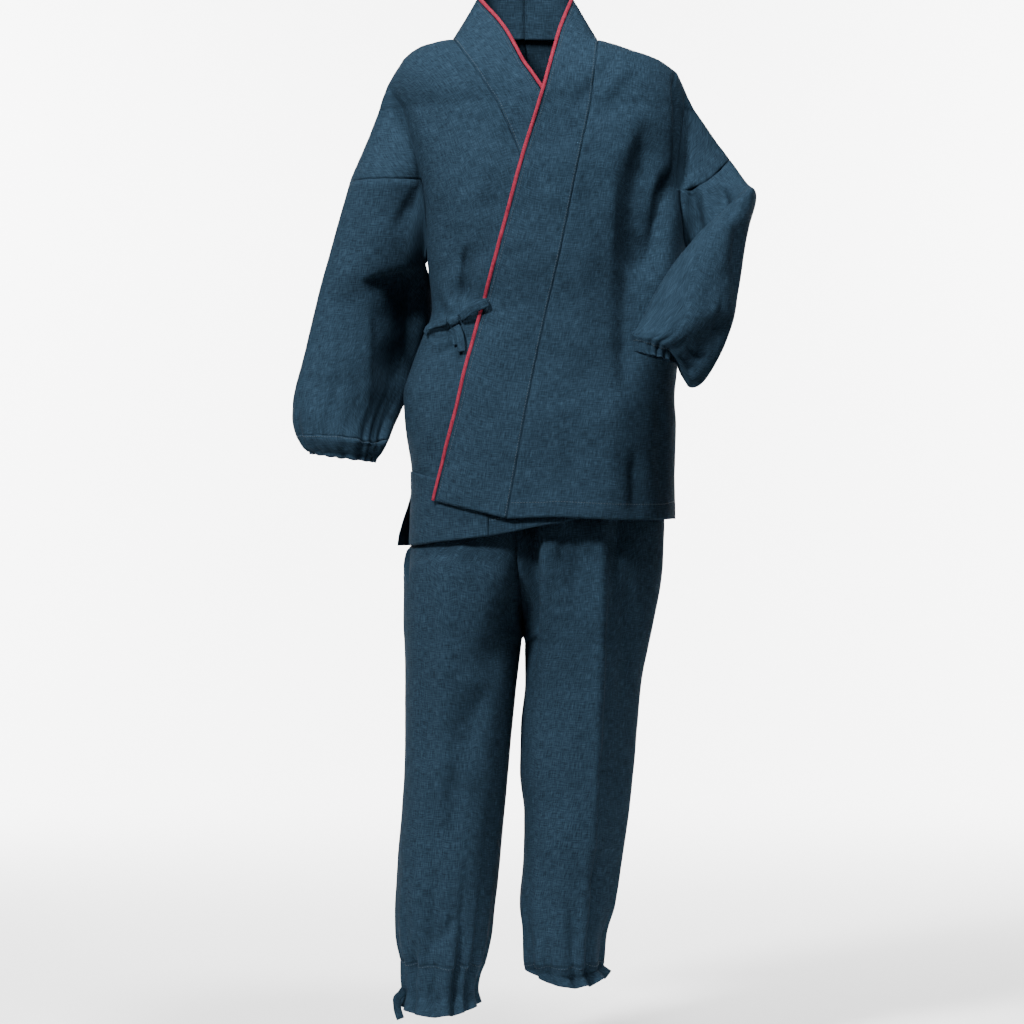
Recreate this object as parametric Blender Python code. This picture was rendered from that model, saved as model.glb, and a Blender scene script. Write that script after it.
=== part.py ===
"""A samue, the Japanese two-piece working dress, in the hollow form it keeps when worn.

The jacket wraps left over right and ties at the right side. Its wide collar band runs from the nape to both
hems and is edged with a red piping. The sleeves are sewn on past the shoulder and gathered at the wrist, and
the trousers are gathered by a cord above the ankle. Every piece of cloth is a thin closed wall.

Frame: +Z up, the front faces -Y, and the wearer's right side is at -X. The origin is the middle of the neck
hole, at the height where the collar meets the shoulders. Tables are in millimetres and angles in radians.
"""

import math

import bpy
import numpy as np

MM = 0.001
SEAM_GAP = 0.25  # each of two pieces stands this far back from their seam
RIGHT, LEFT = -1, 1  # the wearer's sides, as signs of X
NAMES = {RIGHT: "right", LEFT: "left"}

CLOTH_WALL = 1.8
COLLAR_WALL = 2.4
LONGEST_MITRE = 1.2  # times the wall, at a sharp crease

# The middle of the body lies a little to the left of the neck, because the left arm is raised.
BODY_CENTRE_X = 14
SQUARENESS = 2.5  # exponent of the body's oval sections: 2 is an ellipse


def table(columns, *rows):
    """A table with named columns, as one array for each column."""
    return dict(zip(columns.split(), np.array(rows, float).T))


# The jacket's body: x of both sides, and how far its front and back stand from the side seams.
BODY = table(
    "height  right  left  front  back",
    (-686,   -159,  197,  143,   134),
    (-585,   -157,  198,  140,   130),
    (-517,   -166,  200,  136,   124),
    (-479,   -168,  198,  132,   118),
    (-443,   -158,  201,  128,   112),
    (-402,   -143,  203,  125,   107),
    (-362,   -130,  208,  123,   104),
    (-301,   -135.5,  213,  126,   106),
    (-227,   -141,  213,  126,   109),
    (-190,   -147,  213,  123,   108),
    (-126,   -163,  212,  110,   100),
    (-92,    -170,  212,  99,    90),
)

# The shoulder line as seen from the front, from the neck out and down the arm to the sleeve's seam.
SHOULDER = {
    RIGHT: table(
        "x  height", (-102, 2), (-118, 0), (-143, -8), (-157, -16), (-169, -26), (-180, -42), (-190, -59),
        (-197, -77), (-203, -95), (-215, -127), (-229, -160), (-241, -190),
    ),
    LEFT: table(
        "x  height", (94, 2), (112, -2), (134, -8), (158, -16), (176, -24), (201, -41), (209, -57),
        (216, -73), (224, -89), (235, -105), (246, -121.5), (257, -138), (269, -154), (275, -163),
    ),
}
SHOULDER_TOP = -92  # below this the rows of cloth are level, above it they close over the shoulder
SLEEVE_SEAM = {RIGHT: -190, LEFT: -203}  # height of the sleeve's seam beside the chest
SEAM_SLOPE = {RIGHT: 1.0, LEFT: 0.604}  # share of that drop that the seam has on the outside of the arm
UNDERARM = -292
ARM_MIDDLE_Y = 8
VALLEY_TURN = math.radians(118)  # where the fold beside the arm lies on the sleeve's first ring

# The upper arm where it leaves the body: half width and half depth of the cloth round it.
ARM = {
    RIGHT: table("height  wide  deep", (-203, 60, 60), (-190, 59, 59), (-126, 49, 42), (-92, 40, 30)),
    LEFT: table("height  wide  deep", (-203, 58, 58), (-126, 46, 40), (-92, 36, 30)),
}

# The neck hole, and the collar band that stands round it.
NECK_CENTRE_X, NECK_HALF_WIDTH = -4, 98
NAPE_Y, NECK_SIDE_RISE, NAPE_RISE = 66, 2, 12
COLLAR_TOP = table(
    "turn  x   y   height",
    (0,    0,  60, 72),
    (30,   36, 53, 71),
    (60,   59, 32, 67),
    (90,   65, -2, 58),
)

# Where the collar band is sewn to each front, and across from there the band's free edge.
COLLAR = {
    RIGHT: table(
        "height  seam_x  edge_x  edge_y  edge_height",
        (-649,   45,     143,    0,      -628),
        (-586,   43,     139,    0,      -576),
        (-493,   40,     130,    0,      -489),
        (-401,   37,     118,    0,      -396),
        (-308,   26,     101,    0,      -300),
        (-236,   11,     83,     0,      -222),
        (-175,   -7,     59,     -101,   -146),
        (-113,   -32,    22,     -96,    -85),
        (-61,    -58,    -9,     -80,    -36),
        (-22,    -82,    -38,    -44,    18),
        (2,      -102,   -69,    -2,     58),
    ),
    LEFT: table(
        "height  seam_x  edge_x  edge_y  edge_height",
        (-649,   -30,    -123,   0,      -625),
        (-579,   -17,    -111,   0,      -566),
        (-476,   2,      -86.5,  0,      -472),
        (-385,   21,     -63,    0,      -381),
        (-293,   42,     -36.5,  0,      -284),
        (-179,   65,     -4.5,   -119,   -165),
        (-117,   78,     15,     -112,   -100),
        (-62,    90,     28.5,   -92,    -52),
        (-16,    101,    43.5,   -45,    6),
        (2,      94,     61,     -2,     58),
    ),
}
UNDERLAP = 8.0  # the right front lies this far inside the left one
UNDERLAP_START, UNDERLAP_WIDTH = 58, 45  # it begins this far before the left one's edge, and grows over this width
LEFT_EDGE = table("height  x", (-625, -123), (-80, 20))  # the left front's edge is one straight line

# The hems. The raised left arm lifts the jacket's left side.
HEM = {
    RIGHT: table("x  height", (-159, -680), (-117, -674), (-51, -666), (20, -652), (51, -647), (143, -628)),
    LEFT: table("x  height", (-25, -643), (34, -641), (111, -645), (180, -645), (197, -641)),
}
BACK_HEM = table("x  height", (-159, -680), (197, -644))
HEM_ZONE = -560  # the rows turn from level to the hem's slope below this height
SLIT_TOP = {RIGHT: -594, LEFT: -562}
SLIT_SPREAD = {RIGHT: 17, LEFT: 2}  # the back panel stands out this much at the slit's foot

# Soft folds: the line of each, how far it reaches to both sides, and how deep it is (ridges are negative).
BODY_FOLDS = table(
    "x1    z1    x2    z2    reach  depth",
    (-84,  -275, -80,  -362, 16,    6),
    (150,  -140, 146,  -330, 22,    9),
    (120,  -420, 128,  -660, 26,    -4),
    (-135, -300, -60,  -372, 20,    3),
    (96,   -30,  60,   -150, 20,    3),
)
BACK_FOLDS = table(
    "x1    z1    x2    z2    reach  depth",
    (-105, -150, -84,  -420, 26,    7),
    (150,  -150, 112,  -430, 26,    7),
    (-60,  -380, -70,  -660, 30,    5),
    (95,   -400, 104,  -640, 30,    5),
)

# The sleeves, as rings: the outer and the inner end of each, its middle and its half depth front to back.
# A tilted ring is that much higher in front. The left sleeve's fullness hangs below its cuff on the outside.
RIGHT_SLEEVE = table(
    "outer_x  outer_z  inner_x  inner_z  middle_y  deep  inner_back",
    (-243,    -198,    -147,    -296,    8,        57,    -16),
    (-272,    -296,    -131,    -320,    11,       65,    34),
    (-288,    -358,    -123,    -364,    10,       66,    74),
    (-298,    -400,    -135,    -402,    8,        67,    71),
    (-307,    -440,    -150,    -436,    4,        68,    63),
    (-316,    -480,    -166,    -480,    0,        68,    50),
    (-317,    -508,    -179,    -512,    -3,       64,    32),
    (-312,    -530,    -188,    -537,    -4,       58,    12),
)
LEFT_UPPER_SLEEVE = table(
    "outer_x  outer_z  inner_x  inner_z  middle_y  deep  tilt",
    (274,     -163,    226,     -290,    4,        58,   4),
    (291,     -193,    233,     -289,    -32,      56,   14),
    (304,     -216,    238,     -278,    -68,      48,   22),
)
LEFT_FOREARM = table(
    "outer_x  outer_z  inner_x  inner_z  middle_y  deep  hang  tilt",
    (302,     -226,    206,     -294,    -108,     50,   0,    26),
    (286,     -274,    167,     -338,    -140,     52,   0,    26),
    (276,     -336,    153,     -368,    -160,     54,   0,    22),
    (267,     -385,    143,     -390,    -174,     52,   2,    14),
    (251,     -408,    136,     -399,    -184,     46,   20,   7),
    (232,     -416,    134,     -403,    -188,     42,   44,   3),
    (213,     -419,    134,     -406,    -190,     39,   54,   0),
    (200,     -422,    134.5,   -408,    -191,     37,   38,   0),
    (195,     -427,    135,     -410,    -192,     33,   0,    0),
)
CUFFS = {
    RIGHT: table(
        "outer_x  outer_z  inner_x  inner_z  middle_y  deep",
        (-312,    -531,    -188,    -538,    -4,       58),
        (-303,    -545,    -198,    -556,    -5,       49),
        (-294,    -551,    -204,    -563,    -6,       41),
        (-292,    -556,    -206,    -568,    -7,       40),
    ),
    LEFT: table(
        "outer_x  outer_z  inner_x  inner_z  middle_y  deep",
        (194,     -428,    135.5,   -411,    -192,     32.5),
        (191,     -430,    137.5,   -415,    -193,     27),
        (189,     -438,    137.5,   -423,    -193,     27),
        (189,     -442,    137.5,   -427,    -193,     28),
    ),
}
CUFF_GATHERS, CUFF_GATHER_DEPTH = 10, 1.8

# The trousers: x of the four sides, the middle seam, and the depth of front and back from the side seams.
TROUSERS = table(
    "height  outer_right  inner_right  inner_left  outer_left  middle_y  front  back",
    (-1240,  -167,        -59,         -4,         101,        6,        66,    62),
    (-1203,  -176,        -50.5,       -7,         106,        5,        72,    68),
    (-1163,  -178.5,      -45.5,       -12,        118,        4,        77,    74),
    (-1103,  -176,        -38,         -7,         127,        3,        82,    80),
    (-1042,  -171,        -32,         -5.5,       136.5,      2,        86,    85),
    (-982,   -167.5,      -26,         -11.5,      143,        2,        90,    92),
    (-922,   -166,        -20.5,       -10,        148,        2,        94,    100),
    (-862,   -166,        -14.5,       -4,         154,        2,        99,    109),
    (-808,   -167,        -8.4,        -4.4,       164,        2,        106,   116),
)
SEAT = table(
    "height  outer_right  centre  outer_left  split  front  back",
    (-808,   -167,        -6.4,   164,        1.0,   106,   116),
    (-780,   -168,        -8,     170,        0.93,  110,   119),
    (-740,   -168,        -11,    178,        0.74,  114,   121),
    (-708,   -168,        -14,    182,        0.62,  117,   121),
    (-690,   -165,        -15,    183,        0.58,  117,   121),
    (-670,   -149,        -16,    184,        0.52,  116,   120),
    (-653,   -147,        -17,    185,        0.48,  116,   118),
    (-600,   -144,        -14,    180,        0.36,  112,   112),
    (-520,   -134,        -6,     164,        0.20,  104,   100),
    (-432,   -114,        2,      126,        0.05,  90,    84),
)
CROTCH = -808
TROUSER_SQUARENESS = 2.2
WAIST_TOP = -395
INSIDE_JACKET = 5.6  # the trousers stay this far inside the jacket's outer face
HEM_MARGIN = 8  # they stay inside it to this far under its hem,
SEAT_FREEING = {False: 50, True: 150}  # and are let out over this drop, in front and behind,
SEAT_ROOM = 60  # by so much
BACK_FOLD_SHARE = 0.6  # of the front folds' depth
WAIST_NARROWING = 0.96
LEG_FOLDS = table(
    "x1    z1    x2    z2     reach  depth",
    (-112, -640, -112, -1180, 16,    -5),
    (102,  -560, 96,   -1200, 13,    -7),
    (112,  -560, 108,  -800,  9,     6),
    (62,   -560, 60,   -760,  12,    4),
    (-128, -1230, -118, -1060, 12,   5),
    (60,   -1215, 66,  -1090, 13,    4),
)

# The gathered hems: rings from the trouser leg down past the cord to the frill's edge.
HEMS = {
    RIGHT: table(
        "outer_x  outer_z  inner_x  inner_z  middle_y  deep",
        (-167,    -1241,   -59,     -1241,   6,        64),
        (-166,    -1262,   -67,     -1260,   5,        57),
        (-164,    -1280,   -70,     -1279,   4,        50),
        (-166,    -1293,   -68,     -1290,   4,        54),
        (-168,    -1303,   -66,     -1297,   4,        57),
    ),
    LEFT: table(
        "outer_x  outer_z  inner_x  inner_z  middle_y  deep",
        (101,     -1241,   -4,      -1241,   6,        64),
        (100,     -1244,   -2,      -1243,   6,        60),
        (99,      -1248,   0,       -1245,   6,        55),
        (105,     -1254,   0,       -1247,   6,        57),
        (110,     -1258,   -1,      -1250,   6,        59),
    ),
}
HEM_GATHERS, HEM_GATHER_DEPTH = 9, 3.2
HEM_FRONT_DIP = {RIGHT: 9, LEFT: 16}  # the frill hangs lower in front

# The patch pocket on the right front: its mouth droops from the side seam inwards.
POCKET_WALL, POCKET_GAP = 1.4, 0.3
POCKET_INNER_X = -52
POCKET_MOUTH = table("x  height", (-152, -580), (-128, -589), (-52, -589))
POCKET_HEM_MARGIN, POCKET_SIDE_MARGIN = 0.04, 0.12  # of a row and a column, left free beside hem and side seam

# The tape tied at the right side, as lines of points in front view and their distance from the cloth.
TAPE_WIDTH, TAPE_DEPTH = 11, 2.0
TIE_LINES = {
    "tie_strap": table(
        "x  height  off",
        (-133, -398, 1.5), (-129, -391.5, 2), (-118, -387.5, 2.6), (-108, -386, 5.5), (-102, -385, 8.2),
    ),
    "tie_loop": table(
        "x  height  off",
        (-88.1, -380, 6.4), (-78.5, -375.5, 12.6), (-68.5, -370.5, 16.6), (-59.5, -365.5, 17.6), (-53.4, -362, 17.6),
        (-50.6, -360.2, 17), (-49.7, -359.4, 15.6), (-50.6, -359, 14.2), (-53.4, -359, 13.4),
        (-59.5, -360.4, 13.4), (-68.5, -366, 12.8), (-79, -375, 8.8), (-88.8, -380.4, 3.2),
    ),
    "tie_tail_long": table("x  height  off", (-93.6, -390.1, 5.4), (-88, -405, 5.6), (-86.5, -424, 5)),
    "tie_tail_short": table("x  height  off", (-99, -392.4, 3), (-95.5, -402, 2.4), (-94, -414, 1.9)),
}
TIE_STATIONS = {"tie_strap": 7, "tie_loop": 13, "tie_tail_long": 7, "tie_tail_short": 7}
KNOT = table("height  wide  deep", (-388.5, 4, 2.6), (-386, 7, 4.4), (-382.5, 8, 5), (-379, 7, 4.4), (-376, 4, 2.6))
KNOT_X, KNOT_OFF = -95.5, 6.5

# The end of the cord that hangs at the right ankle.
ANKLE_CORD = table(
    "x  y  height", (-166.3, -8, -1277), (-171.4, -9, -1284), (-177, -9, -1291), (-176, -7, -1304), (-172, -5, -1318),
)

# The piping along the collar's edge.
PIPING_WIDTH, PIPING_DEPTH = 5.0, 3.0

COLLAR_LIFT = 0.8  # the collar's edge stands this much prouder than its seam
COLLAR_STAND_FOOT, COLLAR_SETTLING = -125, 45  # below this height the collar settles on the chest

# How finely the cloth is divided.
FRONT_COLUMNS, NECK_COLUMNS, ARM_COLUMNS = 10, 4, 5
NECK_SHARE = 0.42  # of a back panel's width, from the centre seam to below the shoulder line's start
BODY_ROWS = (3, 8, 5, 3, 4)  # hem to slit, underarm, sleeve seam, shoulder rows and shoulder line
COLLAR_COLUMNS = 4
SLEEVE_ROWS = {RIGHT: [14], LEFT: [5, 14]}
SLEEVE_SOFTENING = {RIGHT: 0, LEFT: 4}
CROOK_TURN = math.radians(215)  # the inside of the bent elbow
LEG_COLUMNS, LEG_ROWS = 9, (10, 8)
CUFF_SEED = {RIGHT: 0.3, LEFT: 2.3}
HEM_SEED = {RIGHT: 1.2, LEFT: 3.2}

SLOT_COLOURS = {"slate_cotton": (0.028, 0.055, 0.085, 1), "red_cotton": (0.46, 0.035, 0.055, 1)}
COTTON_ROUGHNESS = 0.9


def smooth(x, y, at):
    """A line through the points (x, y) that doesn't overshoot them, read at the given places."""
    order = np.argsort(x)
    x, y = x[order], y[order]
    step = np.diff(x)
    slope = np.diff(y) / step
    turn = slope[:-1] * slope[1:]
    total = np.where(turn > 0, slope[:-1] + slope[1:], 1)
    tangent = np.concatenate([slope[:1], np.where(turn > 0, 2 * turn / total, 0), slope[-1:]])
    at = np.clip(at, x[0], x[-1])
    i = np.clip(np.searchsorted(x, at) - 1, 0, len(step) - 1)
    t = (at - x[i]) / step[i]
    rise = t * t * (3 - 2 * t)
    return (
        y[i] * (1 - rise) + y[i + 1] * rise
        + step[i] * t * (1 - t) * (tangent[i] * (1 - t) - tangent[i + 1] * t)
    )


def read(sizes, column, at, key="height"):
    return smooth(sizes[key], sizes[column], np.asarray(at, float))


def ease(t):
    """0 below 0, 1 above 1, and a soft step between."""
    t = np.clip(t, 0, 1)
    return t * t * (3 - 2 * t)


def fold(folds, x, z):
    """How far the soft folds move the cloth inwards at these places."""
    moved = np.zeros_like(x)
    for x1, z1, x2, z2, reach, depth in zip(*(folds[c] for c in ("x1", "z1", "x2", "z2", "reach", "depth"))):
        run = np.hypot(x2 - x1, z2 - z1)
        share = ((x - x1) * (x2 - x1) + (z - z1) * (z2 - z1)) / run**2
        off = ((x - x1) * (z2 - z1) - (z - z1) * (x2 - x1)) / run
        ends = ease(share / 0.35 + 0.15) * ease((1 - share) / 0.35 + 0.15)
        moved += depth * ends * np.exp(-((off / reach) ** 2))
    return moved


def body_half_width(x_side, height):
    """From the body's middle line to the side that x_side, -1 or 1, names."""
    return np.where(
        x_side < 0,
        BODY_CENTRE_X - read(BODY, "right", height),
        read(BODY, "left", height) - BODY_CENTRE_X,
    )


def body_turn(side, x, height):
    """The angle round the body, from its middle line towards the side, at which its surface has this x."""
    off = (x - BODY_CENTRE_X) * side
    share = np.abs(off) / body_half_width(np.sign(off) * side, height)
    return np.sign(off) * np.arcsin(np.clip(share, 0, 1) ** (SQUARENESS / 2))


def body_point(side, turn, height, back=False):
    """Points of the jacket's body at these angles and heights."""
    turn, height = np.broadcast_arrays(turn, height)
    wide = body_half_width(np.sign(turn + 1e-9) * side, height)
    sine = np.sign(turn) * np.abs(np.sin(turn)) ** (2 / SQUARENESS)
    cosine = np.clip(np.cos(turn), 0, 1) ** (2 / SQUARENESS)
    x = BODY_CENTRE_X + side * wide * sine
    deep = read(BODY, "back" if back else "front", height)
    y = deep * cosine * (1 if back else -1)
    folds = fold(BACK_FOLDS if back else BODY_FOLDS, x, height)
    y = y + folds * ease(cosine / 0.5) * (-1 if back else 1)
    if side == RIGHT and not back:
        y = y + underlap(x, height)
    return np.stack([x, y, height], axis=-1)


def underlap(x, height):
    """How far the right front is tucked in, growing towards the left front's edge and beyond it."""
    edge = np.interp(height, LEFT_EDGE["height"], LEFT_EDGE["x"])
    share = np.abs(x - BODY_CENTRE_X) / body_half_width(np.sign(x - BODY_CENTRE_X), height)
    return UNDERLAP * ease((x - edge + UNDERLAP_START) / UNDERLAP_WIDTH) * (1 - np.clip(share, 0, 1) ** 10)


def front_y(side, x, height):
    """The depth of a front's surface at these places of the front view."""
    return body_point(side, body_turn(side, x, height), height)[..., 1]


def end_turn(side, height, back):
    """The angle at which a body panel's row ends: in the fold beside the arm, or at the side seam."""
    seam = SLEEVE_SEAM[side]
    level = np.maximum(height, seam)
    deep = read(BODY, "back" if back else "front", level)
    side_x = read(BODY, NAMES[side], level)
    outer_x = shoulder_x(side, outer_height(side, level))
    wide = read(ARM[side], "wide", level)
    reach = np.clip(((outer_x - side_x) * side - wide) / wide, -0.98, 0.98)
    fold_y = read(ARM[side], "deep", level) * np.sqrt(1 - reach**2) - ARM_MIDDLE_Y
    turn = np.arccos(np.clip(fold_y / deep, 0, 1) ** (SQUARENESS / 2))
    below = np.clip((seam - height) / (seam - UNDERARM), 0, 1)
    return turn + (math.pi / 2 - turn) * (1 - np.sqrt(1 - below**2))


def outer_height(side, height):
    """The height on the outside of the arm of the row that leaves the body at this height."""
    return SHOULDER_TOP + (height - SHOULDER_TOP) * SEAM_SLOPE[side]


def shoulder_x(side, height):
    line = SHOULDER[side]
    order = np.argsort(line["height"])
    return np.interp(height, line["height"][order], line["x"][order])


def arm_rows(side, height, valley, count, back):
    """The rows of a body panel that go on over the arm, from the fold beside it to the shoulder line."""
    outer_z = outer_height(side, height)
    outer_x = shoulder_x(side, outer_z)
    wide = read(ARM[side], "wide", height)
    centre_x = outer_x - side * wide
    cosine = np.clip((valley[:, 0] - centre_x) * side / wide, -0.98, 0.98)
    start = np.arccos(cosine)
    deep = np.abs(valley[:, 1] - ARM_MIDDLE_Y) / np.sin(start)
    share = np.linspace(0, 1, count + 1)[None, 1:]
    turn = start[:, None] * (1 - share)
    x = centre_x[:, None] + side * wide[:, None] * np.cos(turn)
    y = ARM_MIDDLE_Y + deep[:, None] * np.sin(turn) * (1 if back else -1)
    # The first points are pulled to the valley exactly, wherever the oval was clipped.
    slip = valley[:, 0] - (centre_x + side * wide * cosine)
    x = x + slip[:, None] * (1 - share)
    z = height[:, None] + (outer_z - height)[:, None] * ease(share)
    return np.stack([x, y, z], axis=-1)


def shoulder_line(side, shares):
    """Points of the shoulder line, from the neck to where the level rows begin."""
    line = SHOULDER[side]
    x, z = line["x"], line["height"]
    run = np.concatenate([[0], np.cumsum(np.hypot(np.diff(x), np.diff(z)))])
    last = np.interp(-SHOULDER_TOP, -z, run)
    at = shares * last
    px, pz = np.interp(at, run, x), np.interp(at, run, z)
    return np.stack([px, ARM_MIDDLE_Y * shares, pz], axis=-1)


def neck_line(side, turn):
    """Points of the neck hole's seam at the back, from the nape at turn 0 to the shoulder line at 90 degrees."""
    x = NECK_CENTRE_X + side * NECK_HALF_WIDTH * np.sin(turn)
    y = NAPE_Y * np.cos(turn)
    z = NECK_SIDE_RISE + (NAPE_RISE - NECK_SIDE_RISE) * np.cos(turn)
    return np.stack([x, y, z], axis=-1)


def lengths(row):
    """Each point's share of the way along a row of points."""
    run = np.concatenate([[0], np.cumsum(np.linalg.norm(np.diff(row, axis=0), axis=-1))])
    return run / run[-1]


def levels(*stops):
    """Heights or shares between the stops: (from, steps, to, steps, to, ...)."""
    found = [stops[0]]
    for steps, to in zip(stops[1::2], stops[2::2]):
        found += list(np.linspace(found[-1], to, steps + 1)[1:])
    return np.array(found, float)


def row_heights(foot, slit, seam, steps):
    return levels(foot, steps[0], slit, steps[1], UNDERARM, steps[2], seam, steps[3], SHOULDER_TOP)


def body_grid(side, back, shares, arm_columns, steps, line_shares=None):
    """One body panel as rows of points from the hem to the shoulder line, and its rows' indices by name."""
    hem = BACK_HEM if back else HEM[side]
    foot = hem["height"][0 if side == RIGHT else -1]
    at_side = row_heights(foot, SLIT_TOP[side], SLEEVE_SEAM[side], steps)
    at_start = at_side
    if back:  # both backs have the same rows on the centre seam
        middle_foot = np.interp(BODY_CENTRE_X, hem["x"], hem["height"])
        slit, seam = (sum(of.values()) / 2 for of in (SLIT_TOP, SLEEVE_SEAM))
        at_start = row_heights(middle_foot, slit, seam, steps)
    rows = np.cumsum([0, *steps[:4]])
    at = {"slit": rows[1], "underarm": rows[2], "seam": rows[3], "top": rows[4]}
    ends = end_turn(side, at_side, back)
    starts = np.zeros_like(ends)
    if not back:
        starts = body_turn(side, read(COLLAR[side], "seam_x", at_side), at_side)
    heights = at_start[:, None] + (at_side - at_start)[:, None] * shares
    body = body_point(side, starts[:, None] + (ends - starts)[:, None] * shares, heights, back)
    if back:
        spread = ease((SLIT_TOP[side] - heights) / (SLIT_TOP[side] - foot)) * shares**6
        body[..., 0] += side * SLIT_SPREAD[side] * spread
    below = np.clip((HEM_ZONE - heights) / (HEM_ZONE - heights[0]), 0, 1)
    body[..., 2] += below * (np.interp(body[..., 0], hem["x"], hem["height"]) - heights[0])
    arm = np.full((len(heights), arm_columns, 3), np.nan)
    up = at["seam"]
    arm[up:] = arm_rows(side, at_side[up:], body[up:, -1], arm_columns, back)
    grid = np.concatenate([body, arm], axis=1)
    end = shoulder_line(side, lengths(grid[-1]) if line_shares is None else line_shares)
    if back:
        neck = neck_line(side, np.linspace(0, math.pi / 2, NECK_COLUMNS + 1)[:-1])
        end = np.concatenate([neck, end])
    return np.concatenate([grid, shoulder_rows(grid[-1], end, steps[4])]), at


def shoulder_rows(start, end, count):
    """The rows that close a body panel over the shoulder, from its last level row to the shoulder line."""
    rise = np.linspace(0, math.pi / 2, count + 1)[1:, None, None]
    rows = start + (end - start) * np.sin(rise)
    rows[..., 1] = end[:, 1] + (start - end)[:, 1] * np.cos(rise[..., 0])
    return rows


def panel_faces(grid, closed=False):
    """Quads of a grid of points whose missing points are NaN, facing the side that turns from row to column."""
    rows, columns = grid.shape[:2]
    whole = ~np.isnan(grid[..., 0])
    faces = []
    for i in range(rows - 1):
        for j in range(columns if closed else columns - 1):
            k = (j + 1) % columns
            if whole[i, j] and whole[i + 1, j] and whole[i, k] and whole[i + 1, k]:
                faces.append((i * columns + j, i * columns + k, (i + 1) * columns + k, (i + 1) * columns + j))
    return faces


def split(points, corners):
    """The triangles of a face of up to four corners, cut along its shorter diagonal."""
    if len(corners) < 4:
        return [corners] if len(corners) == 3 else []
    a, b, c, d = corners
    if np.linalg.norm(points[a] - points[c]) <= np.linalg.norm(points[b] - points[d]):
        return [[a, b, c], [a, c, d]]
    return [[a, b, d], [b, c, d]]


class Panel:
    """A piece of cloth: its outer points, its faces, and the way it faces at each point."""

    def __init__(self, name, grid, wall=CLOTH_WALL, flip=False, closed=False):
        points = grid.reshape(-1, 3)
        first, number = {}, {}
        faces = []
        for face in panel_faces(grid, closed):
            corners = []
            for v in face:
                v = first.setdefault(tuple(np.round(points[v], 3)), v)
                if v not in corners:
                    corners.append(v)
            for triangle in split(points, corners):
                faces.append([number.setdefault(v, len(number)) for v in triangle])
        self.name, self.wall = name, wall
        self.points = points[list(number)].copy()
        self.places = {tuple(np.round(p, 2)): n for n, p in enumerate(self.points)}
        self.faces = [tuple(f[::-1] if flip else f) for f in faces]
        self.normals = np.zeros_like(self.points)
        for f in self.faces:
            self.normals[list(f)] += self.facing(f)
        self.normals /= np.linalg.norm(self.normals, axis=1)[:, None]

    def facing(self, face):
        """The way a face faces, as long as twice its area."""
        a, b, c = (self.points[v] for v in face)
        return np.cross(b - a, c - a)

    def rim(self):
        """The edges that have a face on one side only, in the direction of that face, each with that face."""
        edges = {(a, b): f for f in self.faces for a, b in zip(f, f[1:] + f[:1])}
        return {(a, b): f for (a, b), f in edges.items() if (b, a) not in edges}

    def stand_back(self):
        """Draws the rim back from the seams by the seam gap."""
        inward = {}
        for (a, b), face in self.rim().items():
            way = np.cross(self.facing(face), self.points[b] - self.points[a])
            for v in (a, b):
                inward.setdefault(v, []).append(way / np.linalg.norm(way))
        moved = {v: sum(ways) / (1 + np.dot(ways[0], ways[-1])) for v, ways in inward.items() if len(ways) == 2}
        for v, way in moved.items():
            self.points[v] += way * SEAM_GAP

    def build(self):
        """Makes the closed wall: the outer faces, the inner ones a wall's thickness behind, and the rim."""
        count = len(self.points)
        points = np.concatenate([self.points, self.points - self.normals * self.wall]) * MM
        faces = list(self.faces)
        faces += [tuple(v + count for v in reversed(f)) for f in self.faces]
        faces += [(b, a, a + count, b + count) for a, b in self.rim()]
        return add_mesh(self.name, points, faces)


def match_seams(panels):
    """Where points of several panels lie together, makes their rims parallel and mitres them at a crease."""
    shared = {}
    for panel in panels:
        for place, n in panel.places.items():
            shared.setdefault(place, []).append((panel, n))
    for members in shared.values():
        ways = np.array([panel.normals[n] for panel, n in members])
        mitre = np.linalg.lstsq(ways, np.ones(len(ways)), rcond=0.1)[0]
        for panel, n in members:
            panel.normals[n] = mitre / max(1, np.linalg.norm(mitre) / LONGEST_MITRE)


def hang_band(uppers, band, rim):
    """Makes a band's upper rim parallel to the rim that it hangs from, which has every second one of its points."""
    places = [tuple(np.round(p, 2)) for p in rim]
    match_seams([Corners(panel, places[::2]) for panel in (*uppers, band)])
    for before, place, after in zip(places[::2], places[1::2], places[2::2] + places[:1]):
        pair = (band.normals[band.places[before]] + band.normals[band.places[after]]) / 2
        band.normals[band.places[place]] = pair


class Corners:
    """Some of a panel's points only."""

    def __init__(self, panel, places):
        self.normals = panel.normals
        self.places = {place: panel.places[place] for place in places if place in panel.places}


def material(slot):
    made = bpy.data.materials.get(slot) or bpy.data.materials.new(slot)
    made.use_nodes = True
    shader = made.node_tree.nodes["Principled BSDF"]
    shader.inputs["Base Color"].default_value = SLOT_COLOURS[slot]
    shader.inputs["Roughness"].default_value = COTTON_ROUGHNESS
    shader.inputs["Metallic"].default_value = 0.0
    return made


def add_mesh(name, points, faces, slot="slate_cotton"):
    mesh = bpy.data.meshes.new(name)
    mesh.from_pydata([tuple(p) for p in points], [], faces)
    mesh.materials.append(material(slot))
    mesh.shade_smooth()
    mesh.set_sharp_from_angle(angle=math.radians(50))
    made = bpy.data.objects.new(name, mesh)
    bpy.context.scene.collection.objects.link(made)
    made.parent = bpy.data.objects["wearer_hold"]
    return made


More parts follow.
